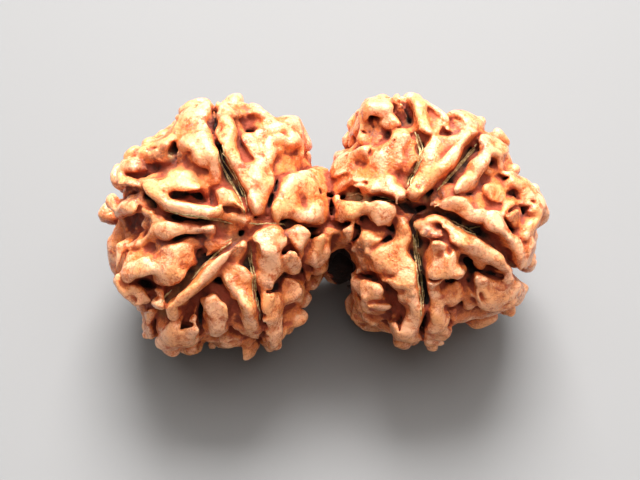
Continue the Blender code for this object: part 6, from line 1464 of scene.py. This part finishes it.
def near_paths(points, paths, reach):
    """How near each point is to any of the paths, from 0 at reach to 1 on one."""
    closest = np.full(len(points), reach)
    for path in paths:
        for start, end in zip(path[:-1], path[1:]):
            run = end - start
            from_middle = np.linalg.norm(points - (start + end) / 2, axis=1)
            near = np.flatnonzero(from_middle < reach + np.linalg.norm(run))
            if not len(near):
                continue
            share = np.clip((points[near] - start) @ run / max(run @ run, 1e-9), 0.0, 1.0)
            away = np.linalg.norm(points[near] - start - share[:, None] * run, axis=1)
            closest[near] = np.minimum(closest[near], away)
    return 1.0 - closest / reach


def filled_share(grid, filled, points, normals, kind):
    """How full of stone the space just above each point is, averaged over a reach."""
    reach, height, _ = kind
    average = blurred(filled, max(1, round(reach / GRID_STEP)))
    return grid.read(average, points + height * normals)


def stone(beads):
    """The stone's surface, with what the material needs to know about each point."""
    grid = Grid(GRID_LOW, GRID_HIGH, GRID_STEP)
    field, under = stone_field(grid, beads)
    mesh = surface(grid, field)
    keep_largest_island(mesh)
    mesh = thinned(mesh)
    stone_points = len(mesh.vertices)
    strand_points, strand_faces = strand_tubes(grid, field)
    work = bmesh.new()
    work.from_mesh(mesh)
    added = [work.verts.new(point) for point in strand_points]
    for face in strand_faces:
        work.faces.new([added[i] for i in face])
    work.to_mesh(mesh)
    work.free()
    flat = np.empty(len(mesh.vertices) * 3)
    mesh.vertices.foreach_get("co", flat)
    points = flat.reshape(-1, 3).copy()
    mesh.vertices.foreach_get("normal", flat)
    normals = flat.reshape(-1, 3)
    # Painted shade: darker where the space just above the surface is full of stone, and where it lies
    # deep under the crests
    filled = np.clip(0.5 - field / GRID_STEP, 0.0, 1.0).astype(np.float32)
    crease = filled_share(grid, filled, points, normals, CREASE)
    hollow = filled_share(grid, filled, points, normals, HOLLOW)
    deep = np.clip(grid.read(under, points) - DEPTH_START, 0.0, DEPTH_RANGE)
    shade = CREASE[2] * crease + HOLLOW[2] * hollow + DEPTH_SHARE * deep
    # The arch between the beads and the web under it get deep painted shade
    inside_arch = beyond(*sighted(points.T), ARCH) < ARCH_MARGIN
    shade[inside_arch & (points[:, 2] < ARCH_HEIGHT)] = ARCH_SHADE
    strand = np.zeros(len(points))
    strand[stone_points:] = 1.0
    add_values(mesh, "shade", shade)
    add_values(mesh, "crease", crease)
    add_values(mesh, "strand", strand)
    add_values(mesh, "dust", near_places(points, normals, CRUMBS))
    add_values(mesh, "straw", near_places(points, normals, STRAW_CRUMBS))
    floors = [
        path - unit(path - bead.centre) * PAINTED_FLOOR
        for bead, _, grooves, _ in beads
        for path, _, _ in grooves
    ]
    add_values(mesh, "groove", near_paths(points, floors, PAINTED_REACH))
    mesh.vertices.foreach_set("co", to_row(points).ravel())
    mesh.update()
    mesh.shade_smooth()
    obj = bpy.data.objects.new("rudraksha_stone", mesh)
    bpy.context.scene.collection.objects.link(obj)
    return obj


class Nodes:
    """Short names for building a node material."""

    def __init__(self, name):
        self.material = bpy.data.materials.new(name)
        self.material.use_nodes = True
        self.tree = self.material.node_tree
        self.shader = self.tree.nodes["Principled BSDF"]

    def add(self, kind, **settings):
        """A new node with its settings."""
        node = self.tree.nodes.new(kind)
        for key, value in settings.items():
            setattr(node, key, value)
        return node

    def feed(self, target, value):
        """Gives an input a number or colour, or another node's output."""
        if isinstance(value, bpy.types.NodeSocket):
            self.tree.links.new(value, target)
        else:
            target.default_value = value

    def value(self, attribute):
        """What the mesh stores at each point under this name."""
        return self.add("ShaderNodeAttribute", attribute_name=attribute).outputs["Fac"]

    def spread(self, value, low, high, start=0.0, end=1.0):
        """Value moved from the range low..high to start..end, held at its ends."""
        node = self.add("ShaderNodeMapRange", interpolation_type="SMOOTHSTEP")
        for name, number in zip(("Value", "From Min", "From Max", "To Min", "To Max"),
                                (value, low, high, start, end)):
            self.feed(node.inputs[name], number)
        return node.outputs["Result"]

    def sum(self, a, b, operation="ADD"):
        """Two values added, or joined by another operation."""
        node = self.add("ShaderNodeMath", operation=operation)
        self.feed(node.inputs[0], a)
        self.feed(node.inputs[1], b)
        return node.outputs[0]

    def mix(self, share, a, b):
        """Colour a, with this share of it given over to colour b."""
        node = self.add("ShaderNodeMix", data_type="RGBA")
        self.feed(node.inputs["Factor"], share)
        self.feed(node.inputs[6], a)
        self.feed(node.inputs[7], b)
        return node.outputs[2]

    def noise(self, size, detail, roughness=0.5):
        """Noise whose lumps are about size millimetres across."""
        node = self.add("ShaderNodeTexNoise")
        self.feed(node.inputs["Vector"], self.add("ShaderNodeTexCoord").outputs["Object"])
        node.inputs["Scale"].default_value = 1.0 / (size * MM)
        node.inputs["Detail"].default_value = detail
        node.inputs["Roughness"].default_value = roughness
        return node.outputs["Fac"]


# Colours of the dried, oiled stone; the flank, stain, furrow and pit colours also serve as painted shade
CREST = (0.94, 0.48, 0.27, 1.0)
CREST_WARM = (0.91, 0.38, 0.15, 1.0)
FLANK = (0.74, 0.2, 0.045, 1.0)
STAIN_AND_SHADE = (0.46, 0.08, 0.022, 1.0)
FURROW_AND_SHADE = (0.25, 0.038, 0.012, 1.0)
PIT_SHADE = (0.016, 0.004, 0.002, 1.0)
FIBRE_FLOOR = (0.24, 0.12, 0.035, 1.0)
DUST = (0.13, 0.06, 0.055, 1.0)
STRAW = (0.66, 0.46, 0.22, 1.0)
OLIVE = (0.32, 0.19, 0.06, 1.0)


def stone_material():
    """Pale rubbed ridges, orange flanks, red-brown furrows and almost black holes.

    The flanks and furrows are partly the stone's own colour and partly painted shade, and the holes
    are painted shade.
    """
    n = Nodes("oiled_seed_stone")
    # Uneven fields, with sizes in millimetres, that break up every edge between colours
    broad = n.noise(2.2, 3.0)
    blotch = n.noise(0.7, 4.0, 0.65)
    grain = n.noise(0.3, 4.0, 0.6)
    fine = n.noise(0.12, 3.0, 0.6)
    speck = n.noise(0.2, 2.0, 0.5)
    swing = n.sum(n.sum(blotch, grain), 1.0, "SUBTRACT")
    shade = n.sum(n.value("shade"), n.sum(swing, 0.16, "MULTIPLY"))
    crease = n.sum(n.value("crease"), n.sum(swing, 0.16, "MULTIPLY"))
    # Ridges, then orange flanks and stains that are partly painted shade in recesses:
    # each colour takes over between the two numbers
    colour = n.mix(n.spread(broad, 0.4, 0.62), CREST, CREST_WARM)
    colour = n.mix(n.spread(shade, 0.24, 0.36), colour, FLANK)
    colour = n.mix(n.spread(blotch, 0.52, 0.64, 0.0, 0.65), colour, FLANK)
    colour = n.mix(n.spread(crease, 0.37, 0.52), colour, STAIN_AND_SHADE)
    stain_and_shade = n.sum(n.spread(blotch, 0.5, 0.66), n.spread(shade, 0.22, 0.34, 0.22, 1.0), "MULTIPLY")
    colour = n.mix(stain_and_shade, colour, STAIN_AND_SHADE)
    # Thin dark veins
    vein = n.sum(n.sum(n.noise(0.9, 4.0, 0.6), 0.5, "SUBTRACT"), 0.0, "ABSOLUTE")
    colour = n.mix(n.spread(vein, 0.006, 0.03, 0.45, 0.0), colour, STAIN_AND_SHADE)
    # Furrows, red-brown and partly painted shade, and the fibre and debris on their floors
    colour = n.mix(n.spread(shade, 0.4, 0.52), colour, FURROW_AND_SHADE)
    colour = n.mix(n.spread(crease, 0.6, 0.8), colour, FURROW_AND_SHADE)
    groove = n.sum(n.spread(n.value("groove"), 0.3, 0.8), n.spread(shade, 0.36, 0.46), "MULTIPLY")
    colour = n.mix(n.sum(groove, 0.6, "MULTIPLY"), colour, FIBRE_FLOOR)
    dust = n.sum(n.value("dust"), n.spread(grain, 0.35, 0.6), "MULTIPLY")
    colour = n.mix(n.sum(dust, 0.8, "MULTIPLY"), colour, DUST)
    straw = n.sum(n.value("straw"), n.spread(grain, 0.3, 0.5), "MULTIPLY")
    colour = n.mix(straw, colour, STRAW)
    # Specks, pits of almost black painted shade, and the loose strands
    colour = n.mix(n.spread(speck, 0.6, 0.7, 0.0, 0.32), colour, STAIN_AND_SHADE)
    colour = n.mix(n.spread(fine, 0.3, 0.7, 0.0, 0.12), colour, FURROW_AND_SHADE)
    colour = n.mix(n.spread(shade, 0.6, 0.8), colour, PIT_SHADE)
    colour = n.mix(n.value("strand"), colour, n.mix(n.spread(grain, 0.4, 0.6), STRAW, OLIVE))
    n.feed(n.shader.inputs["Base Color"], colour)
    # Polished ridges, dull furrows, and a fine grain in the surface
    n.feed(n.shader.inputs["Roughness"], n.spread(shade, 0.3, 0.5, 0.27, 0.85))
    n.shader.inputs["Subsurface Weight"].default_value = 0.16
    n.shader.inputs["Subsurface Radius"].default_value = (1.0, 0.4, 0.15)
    n.shader.inputs["Subsurface Scale"].default_value = 0.6 * MM
    n.shader.inputs["Specular IOR Level"].default_value = 0.5
    bump = n.add("ShaderNodeBump")
    bump.inputs["Strength"].default_value = 0.8
    bump.inputs["Distance"].default_value = 0.1 * MM
    ripple = n.sum(n.noise(0.45, 3.0), n.spread(shade, 0.26, 0.42, 1.0, 2.6), "MULTIPLY")
    n.feed(bump.inputs["Height"], n.sum(n.sum(fine, 0.35, "MULTIPLY"), n.sum(ripple, grain)))
    n.feed(n.shader.inputs["Normal"], bump.outputs["Normal"])
    return n.material


# The studio, in metres and watts: each light's name, place, width, power and tint
FLOOR_SIZE = 3.0
FLOOR_COLOUR = (0.18, 0.184, 0.19, 1.0)
WORLD_COLOUR = (1.0, 0.93, 0.84, 1.0)
WORLD_STRENGTH = 0.24
AIM = (0.0, 0.0, 0.008)
LIGHTS = (
    ("key_light", (0.01, 0.15, 0.26), 0.16, 2.45, (1.0, 0.97, 0.94)),
    ("top_light", (0.02, 0.02, 0.3), 0.34, 1.2, (1.0, 0.97, 0.93)),
    ("fill_light", (0.18, -0.2, 0.2), 0.3, 0.2, (1.0, 0.91, 0.8)),
)


def studio():
    """A pale floor, and soft light from behind and above."""
    bpy.ops.mesh.primitive_plane_add(size=FLOOR_SIZE, location=(0.0, 0.0, 0.0))
    floor = bpy.context.object
    floor.name = "studio_floor"
    n = Nodes("pale_floor")
    n.shader.inputs["Base Color"].default_value = FLOOR_COLOUR
    n.shader.inputs["Roughness"].default_value = 0.75
    floor.data.materials.append(n.material)
    world = bpy.data.worlds.new("studio")
    world.use_nodes = True
    background = world.node_tree.nodes["Background"]
    background.inputs["Color"].default_value = WORLD_COLOUR
    background.inputs["Strength"].default_value = WORLD_STRENGTH
    bpy.context.scene.world = world
    for name, place, size, power, tint in LIGHTS:
        data = bpy.data.lights.new(name, "AREA")
        data.size = size
        data.energy = power
        data.color = tint
        light = bpy.data.objects.new(name, data)
        light.location = place
        light.rotation_euler = (Vector(AIM) - light.location).to_track_quat("-Z", "Y").to_euler()
        bpy.context.scene.collection.objects.link(light)


def camera():
    """The photograph's viewpoint: high in front, looking straight down the line of sight."""
    data = bpy.data.cameras.new("camera")
    data.sensor_width = SENSOR
    data.lens = EYE[2] * SENSOR / PICTURE_WIDTH
    data.clip_start = 0.001
    obj = bpy.data.objects.new("camera", data)
    turn = Matrix(view_matrix().tolist())
    obj.matrix_world = Matrix.Translation(to_row(np.array(EYE))) @ turn.to_4x4()
    bpy.context.scene.collection.objects.link(obj)
    bpy.context.scene.camera = obj


def main():
    """Puts the camera, the stone and the studio together."""
    random = np.random.default_rng(SEED)
    beads = []
    sides = (
        (LEFT_CENTRE, LEFT_OUTLINE, LEFT_POLE, LEFT_RIDGES, LEFT_GROOVES, LEFT_FLOORS, -1.0,
         LEFT_LOBES, LEFT_HOLLOWS, LEFT_FURROWS),
        (RIGHT_CENTRE, RIGHT_OUTLINE, RIGHT_POLE, RIGHT_RIDGES, RIGHT_GROOVES, RIGHT_FLOORS, 1.0,
         RIGHT_LOBES, RIGHT_HOLLOWS, RIGHT_FURROWS),
    )
    for centre, outline, pole, drawn, grooves, floors, side, lobes, hollows, furrows in sides:
        bead = Bead(centre, outline, pole)
        paths = groove_paths(bead, grooves)
        ridges = all_ridges(bead, drawn, list(zip(grooves, paths)), side, random)
        dents = [dent for dent in DENTS if math.copysign(1.0, dent[2][0]) == side]
        forms = {"lobes": lobes, "hollows": hollows, "furrows": furrows, "dents": dents}
        counts = [len(groove) for groove in grooves]
        beads.append((bead, ridges, list(zip(paths, counts, floors)), forms))
    camera()
    piece = stone(beads)
    piece.data.materials.clear()
    piece.data.materials.append(stone_material())
    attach(piece, "root")
    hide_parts("rudraksha")
    studio()
    bpy.context.scene.view_settings.view_transform = "Standard"


main()
